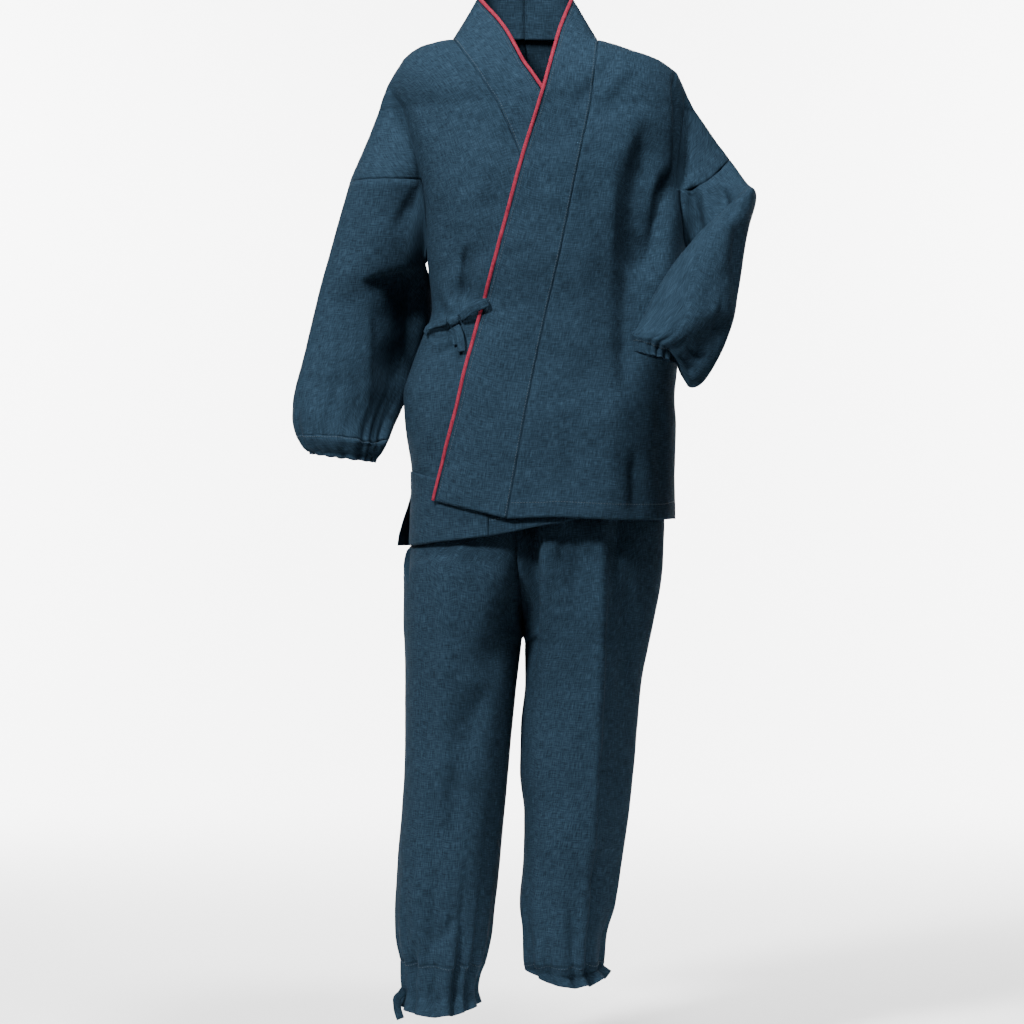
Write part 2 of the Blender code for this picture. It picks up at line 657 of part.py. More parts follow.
def ring_stations(sizes, share, turns):
    """The points of one ring of a sleeve or hem, at a share of the way down its table of rings."""
    at = share * (len(sizes["deep"]) - 1)
    keys = np.arange(len(sizes["deep"]), dtype=float)
    value = {c: smooth(keys, sizes[c], np.array([at]))[0] for c in sizes}
    outer = np.array([value["outer_x"], value["middle_y"], value["outer_z"]])
    inner = np.array([value["inner_x"], value["middle_y"] + value.get("inner_back", 0), value["inner_z"]])
    middle, arm = (outer + inner) / 2, (outer - inner) / 2
    depth = np.array([0, -value["deep"], value.get("tilt", 0)])
    ring = middle + np.cos(turns)[:, None] * arm + np.sin(turns)[:, None] * depth
    ring[:, 2] -= value.get("hang", 0) * np.clip(np.cos(turns), 0, 1) ** 2
    return ring


def armhole(front, back, at_front, at_back, arm_columns):
    """The loop on which a sleeve is sewn, from the outside of the arm round the front, and the rings' angles."""
    loop, turns = [], []
    for grid, at, way in ((front, at_front, 1), (back, at_back, -1)):
        seam, under = at["seam"], at["underarm"]
        last = grid.shape[1] - 1
        over = grid[seam, last - arm_columns : last + 1][::-1]
        down = grid[under : seam + 1, last - arm_columns][::-1]
        half = np.concatenate([over, down[1:]])
        angles = np.concatenate([
            np.linspace(0, VALLEY_TURN, len(over)),
            np.linspace(VALLEY_TURN, math.pi, len(down))[1:],
        ])
        if way < 0:
            half, angles = half[1:-1][::-1], (2 * math.pi - angles)[1:-1][::-1]
        loop.append(half)
        turns.append(angles)
    return np.concatenate(loop), np.concatenate(turns)


def sleeve_grid(side, loop, turns, parts, steps):
    """A sleeve as rings, from the armhole down. The first part starts as the armhole and turns into its table."""
    even = np.linspace(0, 2 * math.pi, len(turns) + 1)[:-1]
    rings = []
    for number, (sizes, count) in enumerate(zip(parts, steps)):
        for share in np.linspace(0, 1, count + 1):
            along = ease((number + share) / len(parts))
            ring = ring_stations(sizes, share, turns * (1 - along) + even * along)
            if number == 0:
                still = np.clip(1 - share * (len(sizes["deep"]) - 1), 0, 1) ** 2
                ring = loop * still + ring * (1 - still)
            rings.append(ring)
    rings = np.array(rings)
    inside = (1 - np.cos(even - CROOK_TURN)) / 2
    share = (1 - inside**2)[None, :, None]
    for _ in range(SLEEVE_SOFTENING[side]):
        along = (rings[:-7] + rings[2:-5]) / 2 - rings[1:-6]
        around = (np.roll(rings, 1, axis=1) + np.roll(rings, -1, axis=1))[1:-6] / 2 - rings[1:-6]
        rings[1:-6] += share * (along + around / 2) / 2
    return rings


def gather(ring, turns, count, depth, seed):
    """Pushes a ring in and out as uneven gathers."""
    middle = ring.mean(axis=0)
    out = ring - middle
    out /= np.linalg.norm(out, axis=1)[:, None]
    wander = 0.55 * np.sin(2 * turns + seed) + 0.35 * np.sin(5 * turns + 2.1 * seed)
    height = 0.75 + 0.25 * np.sin(3 * turns + 1.7 * seed)
    return ring + out * (depth * height * np.cos(count * turns + wander))[:, None]


def gathered_band(sizes, ring, rows, count, depth, seed, dip=0):
    """A gathered cuff or hem: it hangs from the given ring of points, and is gathered towards its lower edge."""
    doubled = np.stack([ring, (ring + np.roll(ring, -1, axis=0)) / 2], axis=1).reshape(-1, 3)
    turns = np.linspace(0, 2 * math.pi, len(doubled) + 1)[:-1]
    rings = [doubled]
    for share in np.linspace(0, 1, rows + 1)[1:]:
        lower = ring_stations(sizes, share, turns)
        lower[:, 2] -= dip * share * np.clip(np.sin(turns), 0, 1) ** 2
        rings.append(gather(lower, turns, count, depth * ease(share * 1.6), seed))
    return np.array(rings)


def collar_grid(side, front, columns):
    """The collar band from the nape round the neck and down to the hem, rows across it from seam to edge."""
    neck = np.linspace(0, math.pi / 2, NECK_COLUMNS + 1)
    degrees = np.degrees(neck)
    edge = np.stack([
        NECK_CENTRE_X + side * read(COLLAR_TOP, "x", degrees, "turn"),
        read(COLLAR_TOP, "y", degrees, "turn"),
        read(COLLAR_TOP, "height", degrees, "turn"),
    ], axis=-1)
    share = np.linspace(0, 1, columns + 1)[None, :, None]
    seam = neck_line(side, neck)
    stand = seam[:, None] + (edge - seam)[:, None] * share
    seam = front[-2::-1, 0]
    edge = np.stack([read(COLLAR[side], c, seam[:, 2]) for c in ("edge_x", "edge_y", "edge_height")], axis=-1)
    band = seam[:, None] + (edge - seam)[:, None] * share
    level = np.minimum(band[..., 2], SHOULDER_TOP)
    settled = ease((COLLAR_STAND_FOOT - band[..., 2]) / COLLAR_SETTLING)
    flat = front_y(side, band[..., 0], level) - COLLAR_LIFT * share[..., 0]
    band[..., 1] = band[..., 1] * (1 - settled) + flat * settled
    band[:, 0] = seam
    return np.concatenate([stand, band])


def piping_path(side, grid):
    """The line just outside a collar band's free edge, and the way that the band faces there."""
    edge, inner = grid[:, -1], grid[:, -2]
    out = edge - inner
    out /= np.linalg.norm(out, axis=1)[:, None]
    run = np.gradient(edge, axis=0)
    face = np.cross(run, out) * side
    face /= np.linalg.norm(face, axis=1)[:, None]
    middle = edge + out * (PIPING_WIDTH / 2 + 0.5) - face * (COLLAR_WALL / 2)
    return middle, out, face


def tube(name, middle, wide_way, deep_way, wide, deep, sides, slot="slate_cotton"):
    """A flattened tube along a line of points, with its two half sizes and their directions at each point."""
    turns = np.linspace(0, 2 * math.pi, sides + 1)[:-1]
    wide, deep = np.broadcast_to(wide, len(middle)), np.broadcast_to(deep, len(middle))
    rings = (
        middle[:, None]
        + np.cos(turns)[None, :, None] * wide_way[:, None] * wide[:, None, None]
        + np.sin(turns)[None, :, None] * deep_way[:, None] * deep[:, None, None]
    )
    count = len(middle)
    faces = [
        (i * sides + j, i * sides + (j + 1) % sides, (i + 1) * sides + (j + 1) % sides, (i + 1) * sides + j)
        for i in range(count - 1)
        for j in range(sides)
    ]
    faces.append(tuple(reversed(range(sides))))
    faces.append(tuple(range((count - 1) * sides, count * sides)))
    return outward(add_mesh(name, rings.reshape(-1, 3) * MM, faces, slot))


def outward(made):
    """Turns a closed mesh's faces outwards if they face in."""
    mesh = made.data
    mesh.calc_loop_triangles()
    points = np.array([v.co for v in mesh.vertices])
    corners = points[np.array([t.vertices for t in mesh.loop_triangles])]
    if np.linalg.det(corners).sum() < 0:
        mesh.flip_normals()
    return made


def pocket_grid(front):
    """The pocket as rows of points of the front under it, from the hem up to the mouth."""
    mouth_row = BODY_ROWS[0]  # the mouth lies between this row and the next
    inner = int(np.argmin(np.abs(front[mouth_row, : FRONT_COLUMNS + 1, 0] - POCKET_INNER_X)))
    cloth = front[: mouth_row + 2, inner : FRONT_COLUMNS + 1].copy()
    cloth[:, -1] += (cloth[:, -2] - cloth[:, -1]) * POCKET_SIDE_MARGIN
    cloth[0] += (cloth[1] - cloth[0]) * POCKET_HEM_MARGIN
    below, above = cloth[-2], cloth[-1]
    mouth = np.interp(below[:, 0], POCKET_MOUTH["x"], POCKET_MOUTH["height"])
    share = (mouth - below[:, 2]) / (above[:, 2] - below[:, 2])
    cloth[-1] = below + (above - below) * share[:, None]
    return cloth


def make_pocket(front):
    pocket = Panel("pocket", pocket_grid(front), wall=POCKET_WALL, flip=True)
    pocket.points += pocket.normals * (POCKET_WALL + POCKET_GAP)
    pocket.build()


def smooth_line(sizes, columns, count):
    """Points along a line that is given by a few of its points."""
    corners = np.stack([sizes[c] for c in columns.split()], axis=-1)
    at = np.linspace(0, len(corners) - 1, count)
    keys = np.arange(len(corners), dtype=float)
    return np.stack([smooth(keys, c, at) for c in corners.T], axis=-1)


def off_front(x, z, off):
    """Points that stand off the right front's surface, over these places of the front view."""
    step = 1.0
    y = front_y(RIGHT, x, z)
    ways = np.stack([
        (front_y(RIGHT, x + step, z) - front_y(RIGHT, x - step, z)) / (2 * step),
        np.full_like(y, -1.0),
        (front_y(RIGHT, x, z + step) - front_y(RIGHT, x, z - step)) / (2 * step),
    ], axis=-1)
    ways /= np.linalg.norm(ways, axis=1)[:, None]
    return np.stack([x, y, z], axis=-1) + ways * off[:, None], ways


def make_tie():
    """The knot at the right side with its strap, its loop and its two tails."""
    for name, line in TIE_LINES.items():
        x, z, off = smooth_line(line, "x height off", TIE_STATIONS[name]).T
        middle, deep = off_front(x, z, off)
        if name == "tie_loop":  # the tape turns back on itself at the loop's end
            deep = np.cross(np.gradient(middle, axis=0), [-0.37, 0, 0.93])
        make_tape(name, middle, deep)
    z = KNOT["height"]
    centre, _ = off_front(np.array([KNOT_X]), z.mean(keepdims=True), np.array([KNOT_OFF]))
    middle = np.repeat(centre, len(z), axis=0)
    middle[:, 2] = z
    across, out = np.tile([1.0, 0, 0], (len(z), 1)), np.tile([0, 1.0, 0], (len(z), 1))
    tube("tie_knot", middle, across, out, KNOT["wide"], KNOT["deep"], 10)


def make_tape(name, middle, deep):
    """A flat tape along a line of points, facing roughly the given way."""
    run = np.gradient(middle, axis=0)
    wide = np.cross(deep, run)
    wide /= np.linalg.norm(wide, axis=1)[:, None]
    deep = np.cross(run, wide)
    deep /= np.linalg.norm(deep, axis=1)[:, None]
    tube(name, middle, wide, deep, TAPE_WIDTH / 2, TAPE_DEPTH / 2, 8)


def make_ankle_cord():
    middle = smooth_line(ANKLE_CORD, "x y height", 9)
    make_tape("ankle_cord", middle, np.tile([0.3, -1.0, 0.0], (9, 1)))


def seat_end(split):
    """The angle round a half of the seat at which its section reaches the centre seam."""
    share = split / 2 / (1 - split / 2)
    return np.arccos(-np.clip(share, 0, 1) ** (TROUSER_SQUARENESS / 2))


def leg_panel(side, back, columns, leg_rows, seat_rows):
    """One of the four trouser panels, as rows from the gathered hem up to the waistband."""
    leg = levels(TROUSERS["height"][0], leg_rows, CROTCH)
    outer = read(TROUSERS, f"outer_{NAMES[side]}", leg)
    inner = read(TROUSERS, f"inner_{NAMES[side]}", leg)
    seat = levels(CROTCH, seat_rows, SEAT["height"][-1])[1:]
    seat_outer = read(SEAT, f"outer_{NAMES[side]}", seat)
    centre, split = read(SEAT, "centre", seat), read(SEAT, "split", seat)
    seat_middle = centre + (seat_outer - centre) / 2 * split
    heights = np.concatenate([leg, seat])
    middle = np.concatenate([(outer + inner) / 2, seat_middle])
    wide = np.concatenate([np.abs(outer - inner) / 2, np.abs(seat_outer - seat_middle)])
    ends = np.concatenate([np.full(len(leg), math.pi), seat_end(split)])
    way = "back" if back else "front"
    deep = np.concatenate([read(TROUSERS, way, leg), read(SEAT, way, seat)])
    centre_y = read(TROUSERS, "middle_y", heights)
    turns = ends[:, None] * np.linspace(0, 1, columns + 1)[None, :]
    sine = np.clip(np.sin(turns), 0, 1) ** (2 / TROUSER_SQUARENESS)
    cosine = np.sign(np.cos(turns)) * np.abs(np.cos(turns)) ** (2 / TROUSER_SQUARENESS)
    x = middle[:, None] + side * wide[:, None] * cosine
    y = deep[:, None] * sine
    z = np.repeat(heights[:, None], columns + 1, axis=1)
    y = y - fold(LEG_FOLDS, x, z) * ease(sine / 0.6) * (BACK_FOLD_SHARE if back else 1)
    return np.stack([x, centre_y[:, None] + (1 if back else -1) * inside_jacket(back, x, y, z), z], axis=-1)


def inside_jacket(back, x, y, z):
    """The trousers' depth, held inside the jacket where they are under it."""
    level = np.maximum(z, BODY["height"][0])
    jacket = np.abs(body_point(RIGHT, body_turn(RIGHT, x, level), level, back)[..., 1])
    hem = np.interp(x, BACK_HEM["x"], BACK_HEM["height"]) - HEM_MARGIN
    room = jacket - INSIDE_JACKET + SEAT_ROOM * ease((hem - z) / SEAT_FREEING[back])
    return np.where(z < CROTCH, y, np.minimum(y, np.maximum(room, 4)))


def waistband_grid(panels, rows):
    """The gathered band on the trousers' top, from the four panels' last rows."""
    (right, right_back), (left, left_back) = (panels[RIGHT], panels[LEFT])
    loop = [right[-1], left[-1][::-1][1:], left_back[-1][1:], right_back[-1][::-1][1:-1]]
    loop = np.concatenate(loop)
    top = loop * (WAIST_NARROWING, WAIST_NARROWING, 1)
    top[:, 2] = WAIST_TOP
    return loop + (top - loop) * np.linspace(0, 1, rows + 1)[:, None, None]


def jacket_grids():
    """The grids of both fronts and both backs, with the indices of their rows."""
    grids = {}
    on_front = np.linspace(0, 1, FRONT_COLUMNS + 1)
    on_neck = np.linspace(0, NECK_SHARE, NECK_COLUMNS + 1)[:-1]
    on_back = np.concatenate([on_neck, NECK_SHARE + (1 - NECK_SHARE) * on_front])
    for side in (RIGHT, LEFT):
        front, at_front = body_grid(side, False, on_front, ARM_COLUMNS, BODY_ROWS)
        line = lengths(front[at_front["top"]])
        back, at_back = body_grid(side, True, on_back, ARM_COLUMNS, BODY_ROWS, line)
        grids[side] = front, back, at_front, at_back
    return grids


def make_jacket(grids):
    """The fronts, backs, collar halves, sleeves and cuffs, which share the points of their seams."""
    panels, cuffs = [], []
    parts = {RIGHT: [RIGHT_SLEEVE], LEFT: [LEFT_UPPER_SLEEVE, LEFT_FOREARM]}
    for side, (front, back, at_front, at_back) in grids.items():
        name = NAMES[side]
        panels.append(Panel(f"front_{name}", front, flip=side == RIGHT))
        panels.append(Panel(f"back_{name}", back, flip=side == LEFT))
        band = collar_grid(side, front, COLLAR_COLUMNS)
        panels.append(Panel(f"collar_{name}", band, wall=COLLAR_WALL, flip=side == RIGHT))
        make_piping(side, band)
        loop, turns = armhole(front, back, at_front, at_back, ARM_COLUMNS)
        rings = sleeve_grid(side, loop, turns, parts[side], SLEEVE_ROWS[side])
        sleeve = Panel(f"sleeve_{name}", rings, closed=True, flip=side == RIGHT)
        panels.append(sleeve)
        cuff = gathered_band(CUFFS[side], rings[-1], 3, CUFF_GATHERS, CUFF_GATHER_DEPTH, CUFF_SEED[side])
        cuffs.append((sleeve, Panel(f"cuff_{name}", cuff, closed=True, flip=side == RIGHT), cuff[0]))
    match_seams(panels)
    for sleeve, cuff, rim in cuffs:
        hang_band([sleeve], cuff, rim)
        panels.append(cuff)
    finish(panels)


def finish(panels):
    for panel in panels:
        panel.stand_back()
        panel.build()


def make_piping(side, band):
    """The red piping on a collar half's free edge, from the nape to the hem."""
    middle, out, face = piping_path(side, band)
    middle[0, 0] += side * SEAM_GAP
    tube(f"piping_{NAMES[side]}", middle, out, face, PIPING_WIDTH / 2, PIPING_DEPTH / 2, 6, "red_cotton")


def make_trousers():
    panels, grids, hems = [], {}, []
    for side in (RIGHT, LEFT):
        grids[side] = [leg_panel(side, back, LEG_COLUMNS, *LEG_ROWS) for back in (False, True)]
        front, back = grids[side]
        legs = [
            Panel(f"leg_front_{NAMES[side]}", front, flip=side == LEFT),
            Panel(f"leg_back_{NAMES[side]}", back, flip=side == RIGHT),
        ]
        lowest = np.concatenate([front[0], back[0, -2:0:-1]])
        band = gathered_band(
            HEMS[side], lowest, 4, HEM_GATHERS, HEM_GATHER_DEPTH, HEM_SEED[side], HEM_FRONT_DIP[side]
        )
        hems.append((legs, Panel(f"hem_{NAMES[side]}", band, closed=True, flip=side == RIGHT), band[0]))
        panels += legs
    panels.append(Panel("waistband", waistband_grid(grids, 1), closed=True))
    match_seams(panels)
    for legs, hem, rim in hems:
        hang_band(legs, hem, rim)
        panels.append(hem)
    finish(panels)


def clear_scene():
    for old in list(bpy.data.objects):
        bpy.data.objects.remove(old)
    hold = bpy.data.objects.new("wearer_hold", None)
    bpy.context.scene.collection.objects.link(hold)


def main():
    clear_scene()
    grids = jacket_grids()
    make_jacket(grids)
    make_pocket(grids[RIGHT][0])
    make_tie()
    make_trousers()
    make_ankle_cord()


main()
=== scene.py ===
"""The looks of a samue: slubbed slate-blue cotton, red piping, sewing, creases and studio light.

Each piece of cloth is a thin shell on the form of its solid. The form's tables and functions, in millimetres,
say what the part's source says. The shells are divided finely enough to hold creases and gathers.
"""

import math

import bpy
import numpy as np
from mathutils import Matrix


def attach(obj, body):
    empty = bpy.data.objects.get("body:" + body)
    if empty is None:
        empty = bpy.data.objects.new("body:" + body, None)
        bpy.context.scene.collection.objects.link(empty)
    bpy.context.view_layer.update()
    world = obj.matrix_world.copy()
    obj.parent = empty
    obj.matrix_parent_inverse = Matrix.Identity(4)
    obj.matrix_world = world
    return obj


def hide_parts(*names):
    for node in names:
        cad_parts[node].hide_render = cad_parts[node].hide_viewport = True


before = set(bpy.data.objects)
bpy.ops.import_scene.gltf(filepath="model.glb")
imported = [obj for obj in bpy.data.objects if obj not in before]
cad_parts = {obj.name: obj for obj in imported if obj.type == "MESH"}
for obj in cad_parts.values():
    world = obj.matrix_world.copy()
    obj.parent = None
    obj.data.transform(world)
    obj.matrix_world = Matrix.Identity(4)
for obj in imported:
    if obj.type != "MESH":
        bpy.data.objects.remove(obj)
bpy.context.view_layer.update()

MM = 0.001
RIGHT, LEFT = -1, 1  # the wearer's sides, as signs of X
NAMES = {RIGHT: "right", LEFT: "left"}

# The camera stands at the photograph's distance. The picture is as wide as this at the body's middle.
CAMERA_DISTANCE = 4500
CAMERA_X, CAMERA_HEIGHT = -21.6, -634.5
PICTURE_WIDTH = 1382.4
SENSOR = 36.0
FLOOR_HEIGHT = -1392

# The studio, in metres: the white paper's edges and bend, and the lamps as place, target, width and watts.
PAPER_FRONT, PAPER_BEHIND, PAPER_BEND, PAPER_TOP, PAPER_SIDE = -0.7, 6.2, 1.6, 6.0, 7.0
LAMPS = {
    "key": ((-1.9, -2.7, 2.0), (0, 0, 0.2), 0.6, 570),
    "top": ((0.8, -1.7, 3.1), (0.1, 0, -0.1), 0.8, 330),
    "fill": ((-0.2, -4.4, 0.5), (0, 0, -0.4), 1.6, 26),
    "backdrop_left": ((-3.0, 3.6, 1.0), (0, 6.2, -0.2), 1.6, 680),
    "backdrop_right": ((3.0, 3.6, 1.0), (0, 6.2, -0.2), 1.6, 680),
}

CLOTH_THICKNESS, POCKET_CLOTH = 0.9, 0.6
COLLAR_WALL = 2.2
SEAM_DEPTH = 0.5  # how far a seam sinks into the cloth
FACING = 1.7  # front creases fade out where the cloth turns away from the front, and back creases likewise
SEAM_SHARE, SLEEVE_SEAM_SHARE = 0.75, 0.25  # how deep seams sink, and how dark the painted shade along them is
ALLOWANCE_WIDTH, ALLOWANCE_RISE = 11, 0.55  # the turned-in cloth beside the collar's seam
HEM_TURN, HEM_RISE = 21, 0.35  # the jacket's turned-up hem
BAND_STITCHES = 2.5  # the stitches below the seam of a cuff or an ankle's hem
STITCH_SIDES = 5
# The rings of one stitch: the share of its length, the share of its radius, and its lift in radii.
STITCH_RINGS = ((-0.5, 0.4, -0.5), (-0.36, 1, 0.45), (0.36, 1, 0.45), (0.5, 0.4, -0.5))


def table(columns, *rows):
    """A table with named columns, as one array for each column."""
    return dict(zip(columns.split(), np.array(rows, float).T))


# The middle of the body lies a little to the left of the neck, because the left arm is raised.
BODY_CENTRE_X = 14
SQUARENESS = 2.5  # exponent of the body's oval sections: 2 is an ellipse


# The jacket's body: x of both sides, and how far its front and back stand from the side seams.
BODY = table(
    "height right left front back",
    (-686, -159, 197, 143, 134), (-585, -157, 198, 140, 130), (-517, -166, 200, 136, 124),
    (-479, -168, 198, 132, 118), (-443, -158, 201, 128, 112), (-402, -143, 203, 125, 107),
    (-362, -130, 208, 123, 104), (-301, -135.5, 213, 126, 106), (-227, -141, 213, 126, 109),
    (-190, -147, 213, 123, 108), (-126, -163, 212, 110, 100), (-92, -170, 212, 99, 90),
)

# The shoulder line as seen from the front, from the neck out and down the arm to the sleeve's seam.
SHOULDER = {
    RIGHT: table(
        "x height",
        (-102, 2), (-118, 0), (-143, -8), (-157, -16), (-169, -26), (-180, -42), (-190, -59), (-197, -77),
        (-203, -95), (-215, -127), (-229, -160), (-241, -190),
    ),
    LEFT: table(
        "x height",
        (94, 2), (112, -2), (134, -8), (158, -16), (176, -24), (201, -41), (209, -57), (216, -73),
        (224, -89), (235, -105), (246, -121.5), (257, -138), (269, -154), (275, -163),
    ),
}
SHOULDER_TOP = -92  # below this the rows of cloth are level, above it they close over the shoulder
SLEEVE_SEAM = {RIGHT: -190, LEFT: -203}  # height of the sleeve's seam beside the chest
SEAM_SLOPE = {RIGHT: 1.0, LEFT: 0.604}  # share of that drop that the seam has on the outside of the arm
UNDERARM = -292
ARM_MIDDLE_Y = 8
VALLEY_TURN = math.radians(118)  # where the fold beside the arm lies on the sleeve's first ring

# The upper arm where it leaves the body: half width and half depth of the cloth round it.
ARM = {
    RIGHT: table("height wide deep", (-203, 60, 60), (-190, 59, 59), (-126, 49, 42), (-92, 40, 30)),
    LEFT: table("height wide deep", (-203, 58, 58), (-126, 46, 40), (-92, 36, 30)),
}

# The neck hole, and the collar band that stands round it.
NECK_CENTRE_X, NECK_HALF_WIDTH = -4, 98
NAPE_Y, NECK_SIDE_RISE, NAPE_RISE = 66, 2, 12
COLLAR_TOP = table(
    "turn x y height", (0, 0, 60, 72), (30, 36, 53, 71), (60, 59, 32, 67), (90, 65, -2, 58),
)

# Where the collar band is sewn to each front, and across from there the band's free edge.
COLLAR = {
    RIGHT: table(
        "height seam_x edge_x edge_y edge_height",
        (-649, 45, 143, 0, -628), (-586, 43, 139, 0, -576), (-493, 40, 130, 0, -489),
        (-401, 37, 118, 0, -396), (-308, 26, 101, 0, -300), (-236, 11, 83, 0, -222),
        (-175, -7, 59, -101, -146), (-113, -32, 22, -96, -85), (-61, -58, -9, -80, -36),
        (-22, -82, -38, -44, 18), (2, -102, -69, -2, 58),
    ),
    LEFT: table(
        "height seam_x edge_x edge_y edge_height",
        (-649, -30, -123, 0, -625), (-579, -17, -111, 0, -566), (-476, 2, -86.5, 0, -472),
        (-385, 21, -63, 0, -381), (-293, 42, -36.5, 0, -284), (-179, 65, -4.5, -119, -165),
        (-117, 78, 15, -112, -100), (-62, 90, 28.5, -92, -52), (-16, 101, 43.5, -45, 6),
        (2, 94, 61, -2, 58),
    ),
}
UNDERLAP = 8.0  # the right front lies this far inside the left one
UNDERLAP_START, UNDERLAP_WIDTH = 58, 45  # this far before the left one's edge on, growing over this width
LEFT_EDGE = table("height x", (-625, -123), (-80, 20))  # the left front's edge is one straight line

# The hems. The raised left arm lifts the jacket's left side.
HEM = {
    RIGHT: table("x height", (-159, -680), (-117, -674), (-51, -666), (20, -652), (51, -647), (143, -628)),
    LEFT: table("x height", (-25, -643), (34, -641), (111, -645), (180, -645), (197, -641)),
}
BACK_HEM = table("x height", (-159, -680), (197, -644))
HEM_ZONE = -560  # the rows turn from level to the hem's slope below this height
SLIT_TOP = {RIGHT: -594, LEFT: -562}
SLIT_SPREAD = {RIGHT: 17, LEFT: 2}  # the back panel stands out this much at the slit's foot

# Soft folds: the line of each, how far it reaches to both sides, and how deep it is (ridges are negative).
BODY_FOLDS = table(
    "x1 z1 x2 z2 reach depth",
    (-84, -275, -80, -362, 16, 6), (150, -140, 146, -330, 22, 9), (120, -420, 128, -660, 26, -4),
    (-135, -300, -60, -372, 20, 3), (96, -30, 60, -150, 20, 3),
)
BACK_FOLDS = table(
    "x1 z1 x2 z2 reach depth", (-105, -150, -84, -420, 26, 7), (150, -150, 112, -430, 26, 7),
    (-60, -380, -70, -660, 30, 5), (95, -400, 104, -640, 30, 5),
)

# The sleeves, as rings: the outer and the inner end of each, its middle and its half depth front to back.
# A tilted ring is that much higher in front. The left sleeve's fullness hangs below its cuff on the outside.
RIGHT_SLEEVE = table(
    "outer_x outer_z inner_x inner_z middle_y deep inner_back",
    (-243, -198, -147, -296, 8, 57, -16), (-272, -296, -131, -320, 11, 65, 34),
    (-288, -358, -123, -364, 10, 66, 74), (-298, -400, -135, -402, 8, 67, 71),
    (-307, -440, -150, -436, 4, 68, 63), (-316, -480, -166, -480, 0, 68, 50),
    (-317, -508, -179, -512, -3, 64, 32), (-312, -530, -188, -537, -4, 58, 12),
)
LEFT_UPPER_SLEEVE = table(
    "outer_x outer_z inner_x inner_z middle_y deep tilt", (274, -163, 226, -290, 4, 58, 4),
    (291, -193, 233, -289, -32, 56, 14), (304, -216, 238, -278, -68, 48, 22),
)
LEFT_FOREARM = table(
    "outer_x outer_z inner_x inner_z middle_y deep hang tilt",
    (302, -226, 206, -294, -108, 50, 0, 26), (286, -274, 167, -338, -140, 52, 0, 26),
    (276, -336, 153, -368, -160, 54, 0, 22), (267, -385, 143, -390, -174, 52, 2, 14),
    (251, -408, 136, -399, -184, 46, 20, 7), (232, -416, 134, -403, -188, 42, 44, 3),
    (213, -419, 134, -406, -190, 39, 54, 0), (200, -422, 134.5, -408, -191, 37, 38, 0),
    (195, -427, 135, -410, -192, 33, 0, 0),
)
CUFFS = {
    RIGHT: table(
        "outer_x outer_z inner_x inner_z middle_y deep", (-312, -531, -188, -538, -4, 58),
        (-303, -545, -198, -556, -5, 49), (-294, -551, -204, -563, -6, 41),
        (-292, -556, -206, -568, -7, 40),
    ),
    LEFT: table(
        "outer_x outer_z inner_x inner_z middle_y deep", (194, -428, 135.5, -411, -192, 32.5),
        (191, -430, 137.5, -415, -193, 27), (189, -438, 137.5, -423, -193, 27),
        (189, -442, 137.5, -427, -193, 28),
    ),
}

# The trousers: x of the four sides, the middle seam, and the depth of front and back from the side seams.
TROUSERS = table(
    "height outer_right inner_right inner_left outer_left middle_y front back",
    (-1240, -167, -59, -4, 101, 6, 66, 62), (-1203, -176, -50.5, -7, 106, 5, 72, 68),
    (-1163, -178.5, -45.5, -12, 118, 4, 77, 74), (-1103, -176, -38, -7, 127, 3, 82, 80),
    (-1042, -171, -32, -5.5, 136.5, 2, 86, 85), (-982, -167.5, -26, -11.5, 143, 2, 90, 92),
    (-922, -166, -20.5, -10, 148, 2, 94, 100), (-862, -166, -14.5, -4, 154, 2, 99, 109),
    (-808, -167, -8.4, -4.4, 164, 2, 106, 116),
)
SEAT = table(
    "height outer_right centre outer_left split front back",
    (-808, -167, -6.4, 164, 1.0, 106, 116), (-780, -168, -8, 170, 0.93, 110, 119),
    (-740, -168, -11, 178, 0.74, 114, 121), (-708, -168, -14, 182, 0.62, 117, 121),
    (-690, -165, -15, 183, 0.58, 117, 121), (-670, -149, -16, 184, 0.52, 116, 120),
    (-653, -147, -17, 185, 0.48, 116, 118), (-600, -144, -14, 180, 0.36, 112, 112),
    (-520, -134, -6, 164, 0.20, 104, 100), (-432, -114, 2, 126, 0.05, 90, 84),
)
CROTCH = -808
TROUSER_SQUARENESS = 2.2
WAIST_TOP = -395
INSIDE_JACKET = 5.6  # the trousers stay this far inside the jacket's outer face
HEM_MARGIN = 8  # they stay inside it to this far under its hem,
SEAT_FREEING = {False: 50, True: 150}  # and are let out over this drop, in front and behind,
SEAT_ROOM = 60  # by so much
BACK_FOLD_SHARE = 0.6  # of the front folds' depth
WAIST_NARROWING = 0.96
LEG_FOLDS = table(
    "x1 z1 x2 z2 reach depth",
    (-112, -640, -112, -1180, 16, -5), (102, -560, 96, -1200, 13, -7), (112, -560, 108, -800, 9, 6),
    (62, -560, 60, -760, 12, 4), (-128, -1230, -118, -1060, 12, 5), (60, -1215, 66, -1090, 13, 4),
)

# The gathered hems: rings from the trouser leg down past the cord to the frill's edge.
HEMS = {
    RIGHT: table(
        "outer_x outer_z inner_x inner_z middle_y deep",
        (-167, -1241, -59, -1241, 6, 64), (-166, -1262, -67, -1260, 5, 57),
        (-164, -1280, -70, -1279, 4, 50), (-166, -1293, -68, -1290, 4, 54),
        (-168, -1303, -66, -1297, 4, 57),
    ),
    LEFT: table(
        "outer_x outer_z inner_x inner_z middle_y deep",
        (101, -1241, -4, -1241, 6, 64), (100, -1244, -2, -1243, 6, 60), (99, -1248, 0, -1245, 6, 55),
        (105, -1254, 0, -1247, 6, 57), (110, -1258, -1, -1250, 6, 59),
    ),
}
HEM_FRONT_DIP = {RIGHT: 9, LEFT: 16}  # the frill hangs lower in front

